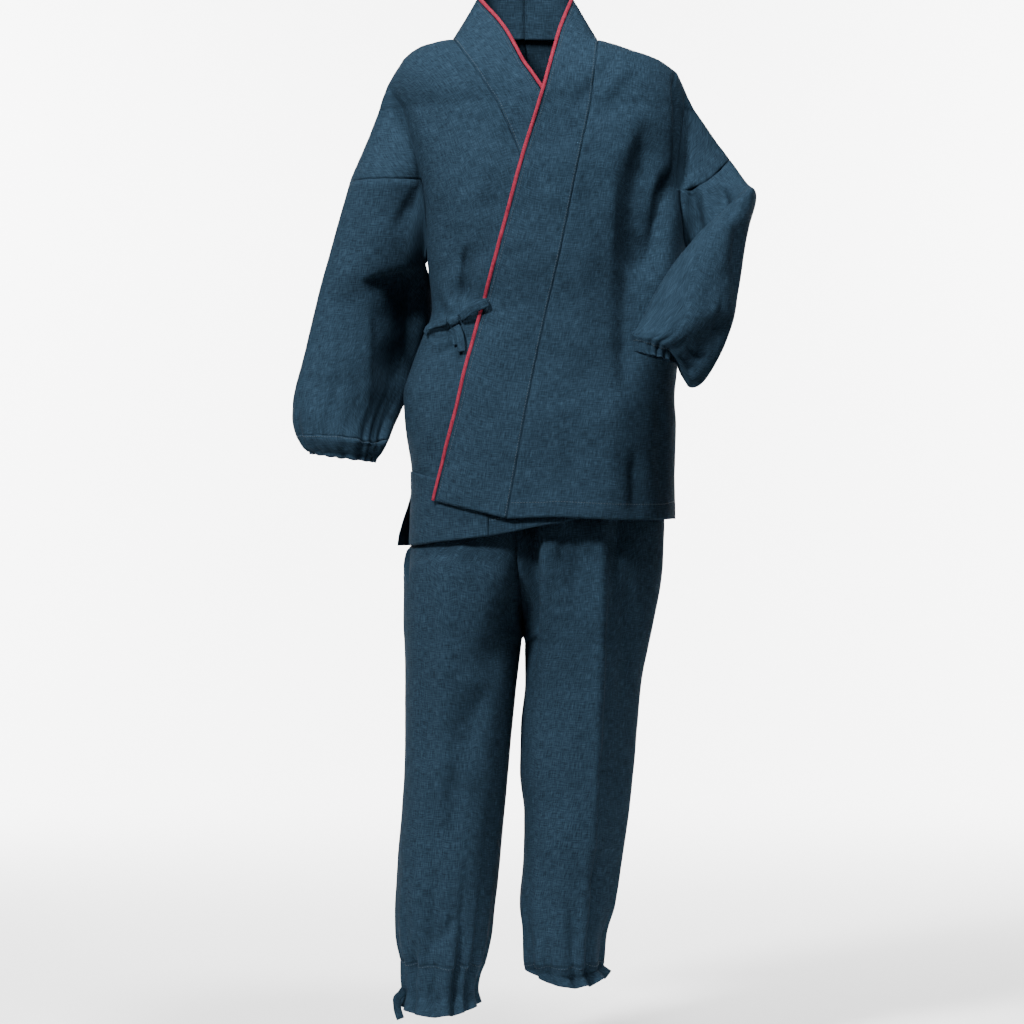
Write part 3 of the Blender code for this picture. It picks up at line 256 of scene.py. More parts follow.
# The patch pocket on the right front: its mouth droops from the side seam inwards.
POCKET_INNER_X = -52
POCKET_FOOT = 0.6  # it ends this far above the front's edge
POCKET_OFF = 0.25  # it lies this far off the front,
POCKET_GAPE, POCKET_GAPE_REACH = 2.2, 13  # and its mouth this much more, over this width
POCKET_TURN, POCKET_TURN_RISE = 22, 0.3  # the turned-in cloth along the mouth
POCKET_STITCHES = (9.0, 13.4)
POCKET_ROWS = 34
POCKET_MOUTH = table("x height", (-152, -580), (-128, -589), (-52, -589))

# The tape tied at the right side, as lines of points in front view and their distance from the cloth.
TAPE_WIDTH, TAPE_DEPTH, TAPE_SQUARENESS = 11, 2.0, 2.8
STRAP_LIFT = 2.5  # the strap stands this much further off the creased cloth
TIE_LINES = {
    "tie_strap": table(
        "x height off",
        (-133, -398, 1.5), (-129, -391.5, 2), (-118, -387.5, 2.6), (-108, -386, 5.5), (-102, -385, 8.2),
    ),
    "tie_loop": table(
        "x height off",
        (-88.1, -380, 6.4), (-78.5, -375.5, 12.6), (-68.5, -370.5, 16.6), (-59.5, -365.5, 17.6),
        (-53.4, -362, 17.6), (-50.6, -360.2, 17), (-49.7, -359.4, 15.6), (-50.6, -359, 14.2),
        (-53.4, -359, 13.4), (-59.5, -360.4, 13.4), (-68.5, -366, 12.8), (-79, -375, 8.8),
        (-88.8, -380.4, 3.2),
    ),
    "tie_tail_long": table("x height off", (-93.6, -390.1, 5.4), (-88, -405, 5.6), (-86.5, -424, 5)),
    "tie_tail_short": table("x height off", (-99, -392.4, 3), (-95.5, -402, 2.4), (-94, -414, 1.9)),
}
TIE_STATIONS = {"tie_strap": 7, "tie_loop": 13, "tie_tail_long": 7, "tie_tail_short": 7}
KNOT = table(
    "height wide deep", (-388.5, 4, 2.6), (-386, 7, 4.4), (-382.5, 8, 5), (-379, 7, 4.4), (-376, 4, 2.6),
)
KNOT_X, KNOT_OFF = -95.5, 6.5

# The end of the cord that hangs at the right ankle.
ANKLE_CORD = table(
    "x y height",
    (-166.3, -8, -1277), (-171.4, -9, -1284), (-177, -9, -1291), (-176, -7, -1304), (-172, -5, -1318),
)

# The piping along the collar's edge.
PIPING_WIDTH, PIPING_DEPTH, PIPING_GAP = 5.0, 3.0, 0.5

COLLAR_LIFT = 0.8  # the collar's edge stands this much prouder than its seam
COLLAR_STAND_FOOT, COLLAR_SETTLING = -125, 45  # below this height the collar settles on the chest

# How finely the cloth is divided.
FRONT_COLUMNS, NECK_COLUMNS, ARM_COLUMNS = 60, 18, 50
COLUMN_SPREAD = 1.15  # the columns stand wider apart towards the side
# The rows of a body panel up to the slit's top, the underarm, the sleeve's seam, the last level row and the
# shoulder line.
BODY_ROWS = (24, 78, 50, 26, 32)
_, UNDERARM_ROW, SEAM_ROW, TOP_ROW, _ = np.cumsum(BODY_ROWS)
COLLAR_COLUMNS = 24
COARSE = 10  # the sleeves' rings are rounded out from every tenth point of the armhole
SLEEVE_ROWS = {RIGHT: [14], LEFT: [5, 14]}
SLEEVE_SOFTENING = {RIGHT: 0, LEFT: 4}
SLEEVE_FINENESS = 7
CROOK_TURN = math.radians(215)  # the inside of the bent elbow
LEG_COLUMNS, LEG_ROWS, SEAT_ROWS = 64, 104, 84
CUFF_ROWS, FRILL_ROWS, WAIST_ROWS = 14, 26, 6
CUFF_SEED = {RIGHT: 0.3, LEFT: 2.3}
HEM_SEED = {RIGHT: 1.2, LEFT: 3.2}
NECK_SHARE = 0.42  # of a back panel's width, from the centre seam to below the shoulder line's start

# Creases as seen from the front or from behind: each one's line, how far it reaches to its left and right,
# and its depth. Troughs are positive and ridges negative.
CREASE_COLUMNS = "x1 z1 x2 z2 left right depth"
BODY_CREASES = table(
    CREASE_COLUMNS,
    (-84, -284, -85, -370, 6, 8, 8), (-92, -250, -86, -330, 22, 16, 3), (-56, -290, -62, -356, 9, 9, -1.6),
    (-120, -210, -104, -330, 20, 14, 2.2), (158, -110, 137, -310, 18, 36, 14),
    (141, -240, 134, -500, 20, 30, 15), (198, -170, 156, -350, 20, 12, 17), (200, -14, 204, -240, 7, 13, 9),
    (127, -160, 122, -410, 12, 18, 4.5), (99, -230, 106, -470, 22, 20, 4.5),
    (122, -360, 134, -520, 12, 18, 3.4), (50, -500, 60, -646, 12, 22, 3.4),
    (139, -545, 139, -652, 7, 14, 5.5), (108, -530, 114, -650, 14, 10, -2.2),
    (176, -470, 178, -648, 14, 10, 3.6), (122, -22, 52, -112, 9, 12, 3.2),
    (152, -40, 92, -120, 10, 12, 2.4), (84, 0, 40, -62, 9, 9, 1.6), (-120, -16, -66, -92, 10, 8, 2.2),
    (-150, -60, -112, -150, 12, 14, 2.4), (-82, -60, -26, -150, 5, 8, -1.3),
    (-140, -386, -103, -393, 5, 4, 3), (-139, -401, -97, -406, 4, 6, 4.4),
    (-130, -416, -93, -401, 5, 4, -2.2), (-124, -431, -89, -406, 5, 6, 3.4),
    (-107, -379, -127, -340, 5, 6, 2.8), (-95, -379, -117, -330, 4, 5, -1.8),
    (-119, -412, -134, -530, 14, 10, 3), (-88, -430, -98, -560, 12, 16, 2.2),
    (-142, -450, -150, -560, 7, 9, 2.2), (-40, -180, -64, -250, 12, 16, 1.6),
    (6, -330, 24, -480, 16, 18, 1.8), (-30, -480, -22, -610, 14, 18, 1.6),
    (70, -120, 84, -250, 16, 20, 1.6), (10, -160, 22, -300, 14, 18, 1.3),
)
BACK_CREASES = table(
    CREASE_COLUMNS,
    (-104, -150, -88, -330, 14, 9, 8), (-76, -210, -70, -400, 16, 12, 4), (150, -150, 122, -360, 9, 14, 8),
    (112, -240, 96, -420, 12, 16, 4), (-40, -420, -54, -650, 9, 18, 4), (30, -380, 40, -640, 16, 12, 3),
    (92, -470, 104, -630, 10, 16, 4.4), (-120, -500, -126, -660, 8, 12, 3.6),
    (-60, -60, -20, -160, 14, 12, 2), (70, -60, 36, -150, 14, 12, 2), (150, -470, 158, -630, 10, 9, 3),
)
RIGHT_SLEEVE_CREASES = table(
    CREASE_COLUMNS,
    (-150, -306, -156, -470, 46, 9, 17), (-160, -400, -190, -590, 44, 11, 16),
    (-224, -328, -140, -312, 24, 5, 9), (-136, -275, -130, -335, 9, 9, -5),
    (-214, -330, -208, -540, 12, 7, -3), (-150, -206, -178, -262, 8, 12, 4.5),
    (-262, -250, -284, -370, 12, 18, 2.4), (-286, -390, -298, -510, 9, 16, 2.6),
    (-252, -430, -264, -540, 12, 9, 2.4), (-240, -330, -248, -430, 14, 12, 1.8),
    (-228, -230, -240, -310, 14, 14, 1.5),
)
RIGHT_SLEEVE_BACK_CREASES = table(
    CREASE_COLUMNS,
    (-250, -240, -262, -380, 14, 10, 4), (-200, -280, -196, -420, 9, 14, 6),
    (-226, -400, -240, -540, 9, 16, 4.4), (-280, -420, -286, -530, 9, 9, 2.6),
    (-170, -330, -190, -470, 8, 10, 3),
)
LEFT_SLEEVE_CREASES = table(
    CREASE_COLUMNS,
    (228, -176, 262, -150, 7, 9, 8), (216, -172, 222, -284, 9, 10, 15), (237, -188, 236, -270, 7, 6, -4),
    (254, -192, 262, -262, 9, 9, 10), (252, -166, 272, -204, 6, 8, 3), (268, -250, 276, -400, 10, 24, 5),
    (276, -232, 258, -350, 8, 12, 2.4), (150, -330, 178, -300, 8, 8, 2),
    (206, -330, 190, -400, 16, 12, 2.2), (168, -360, 160, -404, 8, 8, 1.8),
    (238, -330, 226, -410, 14, 12, 2.6), (262, -380, 196, -470, 26, 20, 12),
    (192, -432, 214, -464, 5, 6, 4), (204, -424, 236, -446, 5, 6, 3.2), (252, -350, 246, -430, 6, 9, 3),
)
LEFT_SLEEVE_BACK_CREASES = table(
    CREASE_COLUMNS, (240, -190, 276, -240, 8, 10, 6), (214, -220, 262, -268, 8, 8, 5),
    (250, -280, 238, -400, 12, 9, 4), (200, -330, 206, -440, 10, 12, 3.4),
)
LEG_CREASES = table(
    CREASE_COLUMNS,
    (14, -560, 2, -870, 24, 5, 24), (26, -650, 20, -800, 8, 10, -2), (44, -650, 46, -712, 6, 7, 6),
    (64, -655, 68, -820, 14, 10, 3), (124, -560, 118, -830, 9, 80, 13), (115, -720, 108, -1040, 10, 80, 13),
    (106, -940, 94, -1180, 11, 70, 13), (94, -1080, 88, -1270, 11, 50, 10),
    (92, -800, 90, -1060, 12, 5, -2.4), (144, -700, 132, -920, 10, 14, 4.4),
    (36, -860, 46, -1060, 20, 14, 3), (20, -1080, 30, -1230, 12, 10, 4), (-6, -720, -58, -880, 30, 16, 9),
    (-54, -860, -92, -980, 28, 14, 8), (-92, -960, -108, -1110, 24, 12, 7),
    (-132, -700, -140, -1000, 14, 16, 2.2), (-74, -660, -70, -760, 12, 12, 3),
    (-104, -660, -110, -800, 12, 10, 1.8), (-44, -1000, -58, -1160, 12, 12, 4),
    (-94, -1166, -128, -1220, 7, 10, 5), (-148, -1196, -156, -1268, 6, 6, 5),
    (-134, -1206, -138, -1272, 6, 5, 4), (-84, -1180, -92, -1260, 6, 8, 3.4),
    (56, -1150, 60, -1240, 8, 6, 3.6), (-20, -880, -34, -1000, 12, 14, 2.4),
)
LEG_BACK_CREASES = table(
    CREASE_COLUMNS,
    (-86, -690, -92, -900, 16, 12, 5), (88, -690, 84, -900, 16, 12, 5), (-30, -790, -90, -850, 8, 14, 6),
    (20, -790, 84, -850, 14, 8, 6), (-120, -900, -112, -1180, 14, 9, 4.4),
    (104, -900, 92, -1180, 9, 14, 4.4), (-60, -1020, -70, -1210, 9, 14, 4.4),
    (34, -1010, 44, -1200, 14, 9, 4.4), (-90, -880, -60, -960, 9, 9, 3), (82, -880, 54, -960, 9, 9, 3),
)

# Gathers that rise from a drawn-in edge into the cloth above it: how many, how deep, how far up, the
# shortest's share of that, and how much deeper they are at the band's last row.
SLEEVE_PUCKERS = {RIGHT: (17, 2.4, 40, 0.55, 1.3), LEFT: (15, 1.8, 28, 0.55, 1.3)}
LEG_PUCKERS = {RIGHT: (12, 7, 66, 0.5, 1.5), LEFT: (11, 6, 56, 0.5, 1.5)}
GATHER_SPREAD, GATHER_STEP = 0.9, 0.37  # how much the run-out varies, and how fast over the columns

SIDE_CALM = 0.8  # the share of the swells that the sides lack, since they lie against each other
# Slow swells that keep the cloth from lying dead flat: wavelength, height, direction and phase of each.
SWELLS = table(
    "length height turn start", (170, 1.3, 0.4, 0.2), (120, 0.9, 1.9, 1.3), (84, 0.55, 2.8, 2.2),
    (61, 0.4, 0.9, 0.7), (43, 0.28, 2.3, 3.1), (31, 0.18, 1.4, 4.0),
)


def smooth(x, y, at):
    """A line through the points (x, y) that doesn't overshoot them, read at the given places."""
    order = np.argsort(x)
    x, y = x[order], y[order]
    step = np.diff(x)
    slope = np.diff(y) / step
    turn = slope[:-1] * slope[1:]
    total = np.where(turn > 0, slope[:-1] + slope[1:], 1)
    tangent = np.concatenate([slope[:1], np.where(turn > 0, 2 * turn / total, 0), slope[-1:]])
    at = np.clip(at, x[0], x[-1])
    i = np.clip(np.searchsorted(x, at) - 1, 0, len(step) - 1)
    t = (at - x[i]) / step[i]
    rise = t * t * (3 - 2 * t)
    return (
        y[i] * (1 - rise) + y[i + 1] * rise
        + step[i] * t * (1 - t) * (tangent[i] * (1 - t) - tangent[i + 1] * t)
    )


def read(sizes, column, at, key="height"):
    return smooth(sizes[key], sizes[column], np.asarray(at, float))


def along(points):
    """The distance of each point of a line from the first."""
    return np.concatenate([[0], np.cumsum(np.linalg.norm(np.diff(points, axis=0), axis=-1))])


def unit(ways):
    """These vectors at length 1. A vector of no length stays as it is."""
    return ways / np.maximum(np.linalg.norm(ways, axis=-1), 1e-9)[..., None]


def around(count):
    """Even angles round a circle."""
    return np.linspace(0, 2 * math.pi, count + 1)[:-1]


def squared(share, power):
    """A sine or cosine for an oval whose corners are squared out by this exponent."""
    return np.sign(share) * np.abs(share) ** (2 / power)


def ease(t):
    """0 below 0, 1 above 1, and a soft step between."""
    t = np.clip(t, 0, 1)
    return t * t * (3 - 2 * t)


def beside_line(x, z, x1, z1, x2, z2):
    """Each place's share of the way along a line of the front view, and its distance to the line's right."""
    run = np.hypot(x2 - x1, z2 - z1)
    share = ((x - x1) * (x2 - x1) + (z - z1) * (z2 - z1)) / run**2
    return share, ((x - x1) * (z1 - z2) + (z - z1) * (x2 - x1)) / run


def fold(folds, x, z):
    """How far the soft folds move the cloth inwards at these places."""
    moved = np.zeros_like(x)
    for *line, reach, depth in zip(*folds.values()):
        share, off = beside_line(x, z, *line)
        ends = ease(share / 0.35 + 0.15) * ease((1 - share) / 0.35 + 0.15)
        moved += depth * ends * np.exp(-((off / reach) ** 2))
    return moved


def body_half_width(x_side, height):
    """From the body's middle line to the side that x_side, -1 or 1, names."""
    return np.where(
        x_side < 0,
        BODY_CENTRE_X - read(BODY, "right", height),
        read(BODY, "left", height) - BODY_CENTRE_X,
    )


def body_turn(side, x, height):
    """The angle round the body, from its middle line towards the side, at which its surface has this x."""
    off = (x - BODY_CENTRE_X) * side
    share = np.abs(off) / body_half_width(np.sign(off) * side, height)
    return np.sign(off) * np.arcsin(np.clip(share, 0, 1) ** (SQUARENESS / 2))


def body_point(side, turn, height, back=False):
    """Points of the jacket's body at these angles and heights."""
    turn, height = np.broadcast_arrays(turn, height)
    wide = body_half_width(np.sign(turn + 1e-9) * side, height)
    sine = squared(np.sin(turn), SQUARENESS)
    cosine = np.clip(np.cos(turn), 0, 1) ** (2 / SQUARENESS)
    x = BODY_CENTRE_X + side * wide * sine
    deep = read(BODY, "back" if back else "front", height)
    y = deep * cosine * (1 if back else -1)
    folds = fold(BACK_FOLDS if back else BODY_FOLDS, x, height)
    y = y + folds * ease(cosine / 0.5) * (-1 if back else 1)
    if side == RIGHT and not back:
        y = y + underlap(x, height)
    return np.stack([x, y, height], axis=-1)


def underlap(x, height):
    """How far the right front is tucked in, growing towards the left front's edge and beyond it."""
    edge = np.interp(height, LEFT_EDGE["height"], LEFT_EDGE["x"])
    share = np.abs(x - BODY_CENTRE_X) / body_half_width(np.sign(x - BODY_CENTRE_X), height)
    return UNDERLAP * ease((x - edge + UNDERLAP_START) / UNDERLAP_WIDTH) * (1 - np.clip(share, 0, 1) ** 10)


def front_y(side, x, height):
    """The depth of a front's surface at these places of the front view."""
    return body_point(side, body_turn(side, x, height), height)[..., 1]


def end_turn(side, height, back):
    """The angle at which a body panel's row ends: in the fold beside the arm, or at the side seam."""
    seam = SLEEVE_SEAM[side]
    level = np.maximum(height, seam)
    deep = read(BODY, "back" if back else "front", level)
    side_x = read(BODY, NAMES[side], level)
    outer_x = shoulder_x(side, outer_height(side, level))
    wide = read(ARM[side], "wide", level)
    reach = np.clip(((outer_x - side_x) * side - wide) / wide, -0.98, 0.98)
    fold_y = read(ARM[side], "deep", level) * np.sqrt(1 - reach**2) - ARM_MIDDLE_Y
    turn = np.arccos(np.clip(fold_y / deep, 0, 1) ** (SQUARENESS / 2))
    below = np.clip((seam - height) / (seam - UNDERARM), 0, 1)
    return turn + (math.pi / 2 - turn) * (1 - np.sqrt(1 - below**2))


def outer_height(side, height):
    """The height on the outside of the arm of the row that leaves the body at this height."""
    return SHOULDER_TOP + (height - SHOULDER_TOP) * SEAM_SLOPE[side]


def shoulder_x(side, height):
    line = SHOULDER[side]
    order = np.argsort(line["height"])
    return np.interp(height, line["height"][order], line["x"][order])


def arm_rows(side, height, valley, back):
    """The rows of a body panel that go on over the arm, from the fold beside it to the shoulder line."""
    outer_z = outer_height(side, height)
    outer_x = shoulder_x(side, outer_z)
    wide = read(ARM[side], "wide", height)
    centre_x = outer_x - side * wide
    cosine = np.clip((valley[:, 0] - centre_x) * side / wide, -0.98, 0.98)
    start = np.arccos(cosine)
    deep = np.abs(valley[:, 1] - ARM_MIDDLE_Y) / np.sin(start)
    share = np.linspace(0, 1, ARM_COLUMNS + 1)[None, 1:]
    turn = start[:, None] * (1 - share)
    x = centre_x[:, None] + side * wide[:, None] * np.cos(turn)
    y = ARM_MIDDLE_Y + deep[:, None] * np.sin(turn) * (1 if back else -1)
    # The first points are pulled to the valley exactly, wherever the oval was clipped.
    slip = valley[:, 0] - (centre_x + side * wide * cosine)
    x = x + slip[:, None] * (1 - share)
    z = height[:, None] + (outer_z - height)[:, None] * ease(share)
    return np.stack([x, y, z], axis=-1)


def shoulder_line(side, shares):
    """Points of the shoulder line, from the neck to where the level rows begin."""
    line = SHOULDER[side]
    x, z = line["x"], line["height"]
    run = along(np.stack([x, z], axis=-1))
    at = shares * np.interp(-SHOULDER_TOP, -z, run)
    px, pz = np.interp(at, run, x), np.interp(at, run, z)
    return np.stack([px, ARM_MIDDLE_Y * shares, pz], axis=-1)


def neck_line(side, turn):
    """Points of the neck hole's seam at the back, from the nape at turn 0 to the shoulder line."""
    x = NECK_CENTRE_X + side * NECK_HALF_WIDTH * np.sin(turn)
    y = NAPE_Y * np.cos(turn)
    z = NECK_SIDE_RISE + (NAPE_RISE - NECK_SIDE_RISE) * np.cos(turn)
    return np.stack([x, y, z], axis=-1)


def lengths(row):
    """Each point's share of the way along a row of points."""
    run = along(row)
    return run / run[-1]


def levels(*stops):
    """Heights or shares between the stops: (from, steps, to, steps, to, ...)."""
    found = [stops[0]]
    for steps, to in zip(stops[1::2], stops[2::2]):
        found += list(np.linspace(found[-1], to, steps + 1)[1:])
    return np.array(found, float)


def row_heights(foot, slit, seam):
    steps = BODY_ROWS
    return levels(foot, steps[0], slit, steps[1], UNDERARM, steps[2], seam, steps[3], SHOULDER_TOP)


def body_grid(side, back, shares, line_shares=None):
    """One body panel as rows of points from the hem to the shoulder line."""
    hem = BACK_HEM if back else HEM[side]
    foot = hem["height"][0 if side == RIGHT else -1]
    at_side = row_heights(foot, SLIT_TOP[side], SLEEVE_SEAM[side])
    at_start = at_side
    if back:  # both backs have the same rows on the centre seam
        middle_foot = np.interp(BODY_CENTRE_X, hem["x"], hem["height"])
        slit, seam = (sum(of.values()) / 2 for of in (SLIT_TOP, SLEEVE_SEAM))
        at_start = row_heights(middle_foot, slit, seam)
    ends = end_turn(side, at_side, back)
    starts = np.zeros_like(ends)
    if not back:
        starts = body_turn(side, read(COLLAR[side], "seam_x", at_side), at_side)
    heights = at_start[:, None] + (at_side - at_start)[:, None] * shares
    body = body_point(side, starts[:, None] + (ends - starts)[:, None] * shares, heights, back)
    if back:
        spread = ease((SLIT_TOP[side] - heights) / (SLIT_TOP[side] - foot)) * shares**6
        body[..., 0] += side * SLIT_SPREAD[side] * spread
    below = np.clip((HEM_ZONE - heights) / (HEM_ZONE - heights[0]), 0, 1)
    body[..., 2] += below * (np.interp(body[..., 0], hem["x"], hem["height"]) - heights[0])
    arm = np.full((len(heights), ARM_COLUMNS, 3), np.nan)
    arm[SEAM_ROW:] = arm_rows(side, at_side[SEAM_ROW:], body[SEAM_ROW:, -1], back)
    grid = np.concatenate([body, arm], axis=1)
    end = shoulder_line(side, lengths(grid[-1]) if line_shares is None else line_shares)
    if back:
        neck = neck_line(side, np.linspace(0, math.pi / 2, NECK_COLUMNS + 1)[:-1])
        end = np.concatenate([neck, end])
    return np.concatenate([grid, shoulder_rows(grid[-1], end)])


def shoulder_rows(start, end):
    """The rows that close a body panel over the shoulder, from its last level row to the shoulder line."""
    rise = np.linspace(0, math.pi / 2, BODY_ROWS[4] + 1)[1:, None, None]
    rows = start + (end - start) * np.sin(rise)
    rows[..., 1] = end[:, 1] + (start - end)[:, 1] * np.cos(rise[..., 0])
    return rows


def ring_stations(sizes, share, turns):
    """The points of one ring of a sleeve or hem, at a share of the way down its table of rings."""
    at = share * (len(sizes["deep"]) - 1)
    keys = np.arange(len(sizes["deep"]), dtype=float)
    value = {c: smooth(keys, sizes[c], np.array([at]))[0] for c in sizes}
    outer = np.array([value["outer_x"], value["middle_y"], value["outer_z"]])
    inner = np.array([value["inner_x"], value["middle_y"] + value.get("inner_back", 0), value["inner_z"]])
    middle, arm = (outer + inner) / 2, (outer - inner) / 2
    depth = np.array([0, -value["deep"], value.get("tilt", 0)])
    ring = middle + np.cos(turns)[:, None] * arm + np.sin(turns)[:, None] * depth
    ring[:, 2] -= value.get("hang", 0) * np.clip(np.cos(turns), 0, 1) ** 2
    return ring


def armhole(front, back):
    """The loop on which a sleeve is sewn, from the arm's outside round the front, and the rings' angles."""
    loop, turns = [], []
    for grid, way in ((front, 1), (back, -1)):
        last = grid.shape[1] - 1
        over = grid[SEAM_ROW, last - ARM_COLUMNS : last + 1][::-1]
        down = grid[UNDERARM_ROW : SEAM_ROW + 1, last - ARM_COLUMNS][::-1]
        half = np.concatenate([over, down[1:]])
        angles = levels(0, len(over) - 1, VALLEY_TURN, len(down) - 1, math.pi)
        if way < 0:
            half, angles = half[1:-1][::-1], (2 * math.pi - angles)[1:-1][::-1]
        loop.append(half)
        turns.append(angles)
    return np.concatenate(loop), np.concatenate(turns)


def sleeve_grid(side, loop, turns, parts, steps):
    """A sleeve as rings, which start as the armhole and turn into the first part's table."""
    even = around(len(turns))
    rings = []
    for number, (sizes, count) in enumerate(zip(parts, steps)):
        for share in np.linspace(0, 1, count + 1):
            turned = ease((number + share) / len(parts))
            ring = ring_stations(sizes, share, turns * (1 - turned) + even * turned)
            if number == 0:
                still = np.clip(1 - share * (len(sizes["deep"]) - 1), 0, 1) ** 2
                ring = loop * still + ring * (1 - still)
            rings.append(ring)
    rings = np.array(rings)
    inside = (1 - np.cos(even - CROOK_TURN)) / 2
    share = (1 - inside**2)[None, :, None]
    for _ in range(SLEEVE_SOFTENING[side]):
        down = (rings[:-7] + rings[2:-5]) / 2 - rings[1:-6]
        beside = (np.roll(rings, 1, axis=1) + np.roll(rings, -1, axis=1))[1:-6] / 2 - rings[1:-6]
        rings[1:-6] += share * (down + beside / 2) / 2
    return rings


def collar_grid(side, front):
    """The collar band from the nape round the neck and down to the hem, rows across it from seam to edge."""
    neck = np.linspace(0, math.pi / 2, NECK_COLUMNS + 1)
    degrees = np.degrees(neck)
    edge = np.stack([read(COLLAR_TOP, c, degrees, "turn") for c in ("x", "y", "height")], axis=-1)
    edge[:, 0] = NECK_CENTRE_X + side * edge[:, 0]
    share = np.linspace(0, 1, COLLAR_COLUMNS + 1)[None, :, None]
    seam = neck_line(side, neck)
    stand = seam[:, None] + (edge - seam)[:, None] * share
    seam = front[-2::-1, 0]
    edge = np.stack([read(COLLAR[side], c, seam[:, 2]) for c in ("edge_x", "edge_y", "edge_height")], axis=-1)
    band = seam[:, None] + (edge - seam)[:, None] * share
    level = np.minimum(band[..., 2], SHOULDER_TOP)
    settled = ease((COLLAR_STAND_FOOT - band[..., 2]) / COLLAR_SETTLING)
    flat = front_y(side, band[..., 0], level) - COLLAR_LIFT * share[..., 0]
    band[..., 1] = band[..., 1] * (1 - settled) + flat * settled
    band[:, 0] = seam
    return np.concatenate([stand, band])


def piping_path(side, grid):
    """The line just outside a collar band's free edge, and the way that the band faces there."""
    edge, inner = grid[:, -1], grid[:, -2]
    out = unit(edge - inner)
    face = unit(np.cross(np.gradient(edge, axis=0), out) * side)
    return edge + out * (PIPING_WIDTH / 2 + PIPING_GAP) - face * (COLLAR_WALL / 2), face


def smooth_line(sizes, columns, count):
    """Points along a line that is given by a few of its points."""
    corners = np.stack([sizes[c] for c in columns.split()], axis=-1)
    at = np.linspace(0, len(corners) - 1, count)
    keys = np.arange(len(corners), dtype=float)
    return np.stack([smooth(keys, c, at) for c in corners.T], axis=-1)


def off_front(x, z, off):
    """Points that stand off the right front's surface, over these places of the front view."""
    y = front_y(RIGHT, x, z)
    ways = unit(np.stack([
        (front_y(RIGHT, x + 1, z) - front_y(RIGHT, x - 1, z)) / 2,
        np.full_like(y, -1.0),
        (front_y(RIGHT, x, z + 1) - front_y(RIGHT, x, z - 1)) / 2,
    ], axis=-1))
    return np.stack([x, y, z], axis=-1) + ways * off[:, None], ways


def seat_end(split):
    """The angle round a half of the seat at which its section reaches the centre seam."""
    share = split / 2 / (1 - split / 2)
    return np.arccos(-np.clip(share, 0, 1) ** (TROUSER_SQUARENESS / 2))


def leg_panel(side, back):
    """One of the four trouser panels, as rows from the gathered hem up to the waistband."""
    leg = levels(TROUSERS["height"][0], LEG_ROWS, CROTCH)
    outer = read(TROUSERS, f"outer_{NAMES[side]}", leg)
    inner = read(TROUSERS, f"inner_{NAMES[side]}", leg)
    seat = levels(CROTCH, SEAT_ROWS, SEAT["height"][-1])[1:]
    seat_outer = read(SEAT, f"outer_{NAMES[side]}", seat)
    centre, split = read(SEAT, "centre", seat), read(SEAT, "split", seat)
    seat_middle = centre + (seat_outer - centre) / 2 * split
    heights = np.concatenate([leg, seat])
    middle = np.concatenate([(outer + inner) / 2, seat_middle])
    wide = np.concatenate([np.abs(outer - inner) / 2, np.abs(seat_outer - seat_middle)])
    ends = np.concatenate([np.full(len(leg), math.pi), seat_end(split)])
    way = "back" if back else "front"
    deep = np.concatenate([read(TROUSERS, way, leg), read(SEAT, way, seat)])
    centre_y = read(TROUSERS, "middle_y", heights)
    turns = ends[:, None] * np.linspace(0, 1, LEG_COLUMNS + 1)[None, :]
    sine = np.clip(np.sin(turns), 0, 1) ** (2 / TROUSER_SQUARENESS)
    cosine = squared(np.cos(turns), TROUSER_SQUARENESS)
    x = middle[:, None] + side * wide[:, None] * cosine
    y = deep[:, None] * sine
    z = np.repeat(heights[:, None], LEG_COLUMNS + 1, axis=1)
    y = y - fold(LEG_FOLDS, x, z) * ease(sine / 0.6) * (BACK_FOLD_SHARE if back else 1)
    return np.stack([x, centre_y[:, None] + (1 if back else -1) * inside_jacket(back, x, y, z), z], axis=-1)


def inside_jacket(back, x, y, z):
    """The trousers' depth, held inside the jacket where they are under it."""
    level = np.maximum(z, BODY["height"][0])
    jacket = np.abs(body_point(RIGHT, body_turn(RIGHT, x, level), level, back)[..., 1])
    hem = np.interp(x, BACK_HEM["x"], BACK_HEM["height"]) - HEM_MARGIN
    room = jacket - INSIDE_JACKET + SEAT_ROOM * ease((hem - z) / SEAT_FREEING[back])
    return np.where(z < CROTCH, y, np.minimum(y, np.maximum(room, 4)))


def waistband_grid(panels):
    """The gathered band on the trousers' top, from the four panels' last rows."""
    (right, right_back), (left, left_back) = (panels[RIGHT], panels[LEFT])
    loop = np.concatenate([right[-1], left[-1, -2::-1], left_back[-1, 1:], right_back[-1, -2:0:-1]])
    top = loop * (WAIST_NARROWING, WAIST_NARROWING, 1)
    top[:, 2] = WAIST_TOP
    return loop + (top - loop) * np.linspace(0, 1, WAIST_ROWS + 1)[:, None, None]


def crease_depth(creases, x, z):
    """How far these creases sink the cloth, as soft troughs that are steeper on one side."""
    sunk = np.zeros_like(x)
    for *line, left, right, depth in zip(*creases.values()):
        share, off = beside_line(x, z, *line)
        reach = np.where(off > 0, right, left) * (0.7 + 0.5 * np.clip(share, 0, 1))
        ends = ease(share / 0.3 + 0.1) * ease((1 - share) / 0.4 + 0.1)
        sunk += depth * ends * np.exp(-((off / reach) ** 2))
    return sunk


def swell(points):
    """Slow uneven swells over the cloth, the same on both sides of every seam."""
    x, y, z = np.moveaxis(points, -1, 0)
    total = np.zeros_like(x)
    for length, height, turn, start in zip(*SWELLS.values()):
        across = x * math.cos(turn) + z * math.sin(turn) + 0.6 * y
        bend = 0.9 * np.sin(2 * math.pi * (z * math.cos(turn) - x * math.sin(turn)) / (length * 2.3) + start)
        total += height * np.sin(2 * math.pi * across / length + bend + start)
    return total


def add_object(name, data):
    made = bpy.data.objects.new(name, data)
    bpy.context.scene.collection.objects.link(made)
    return made


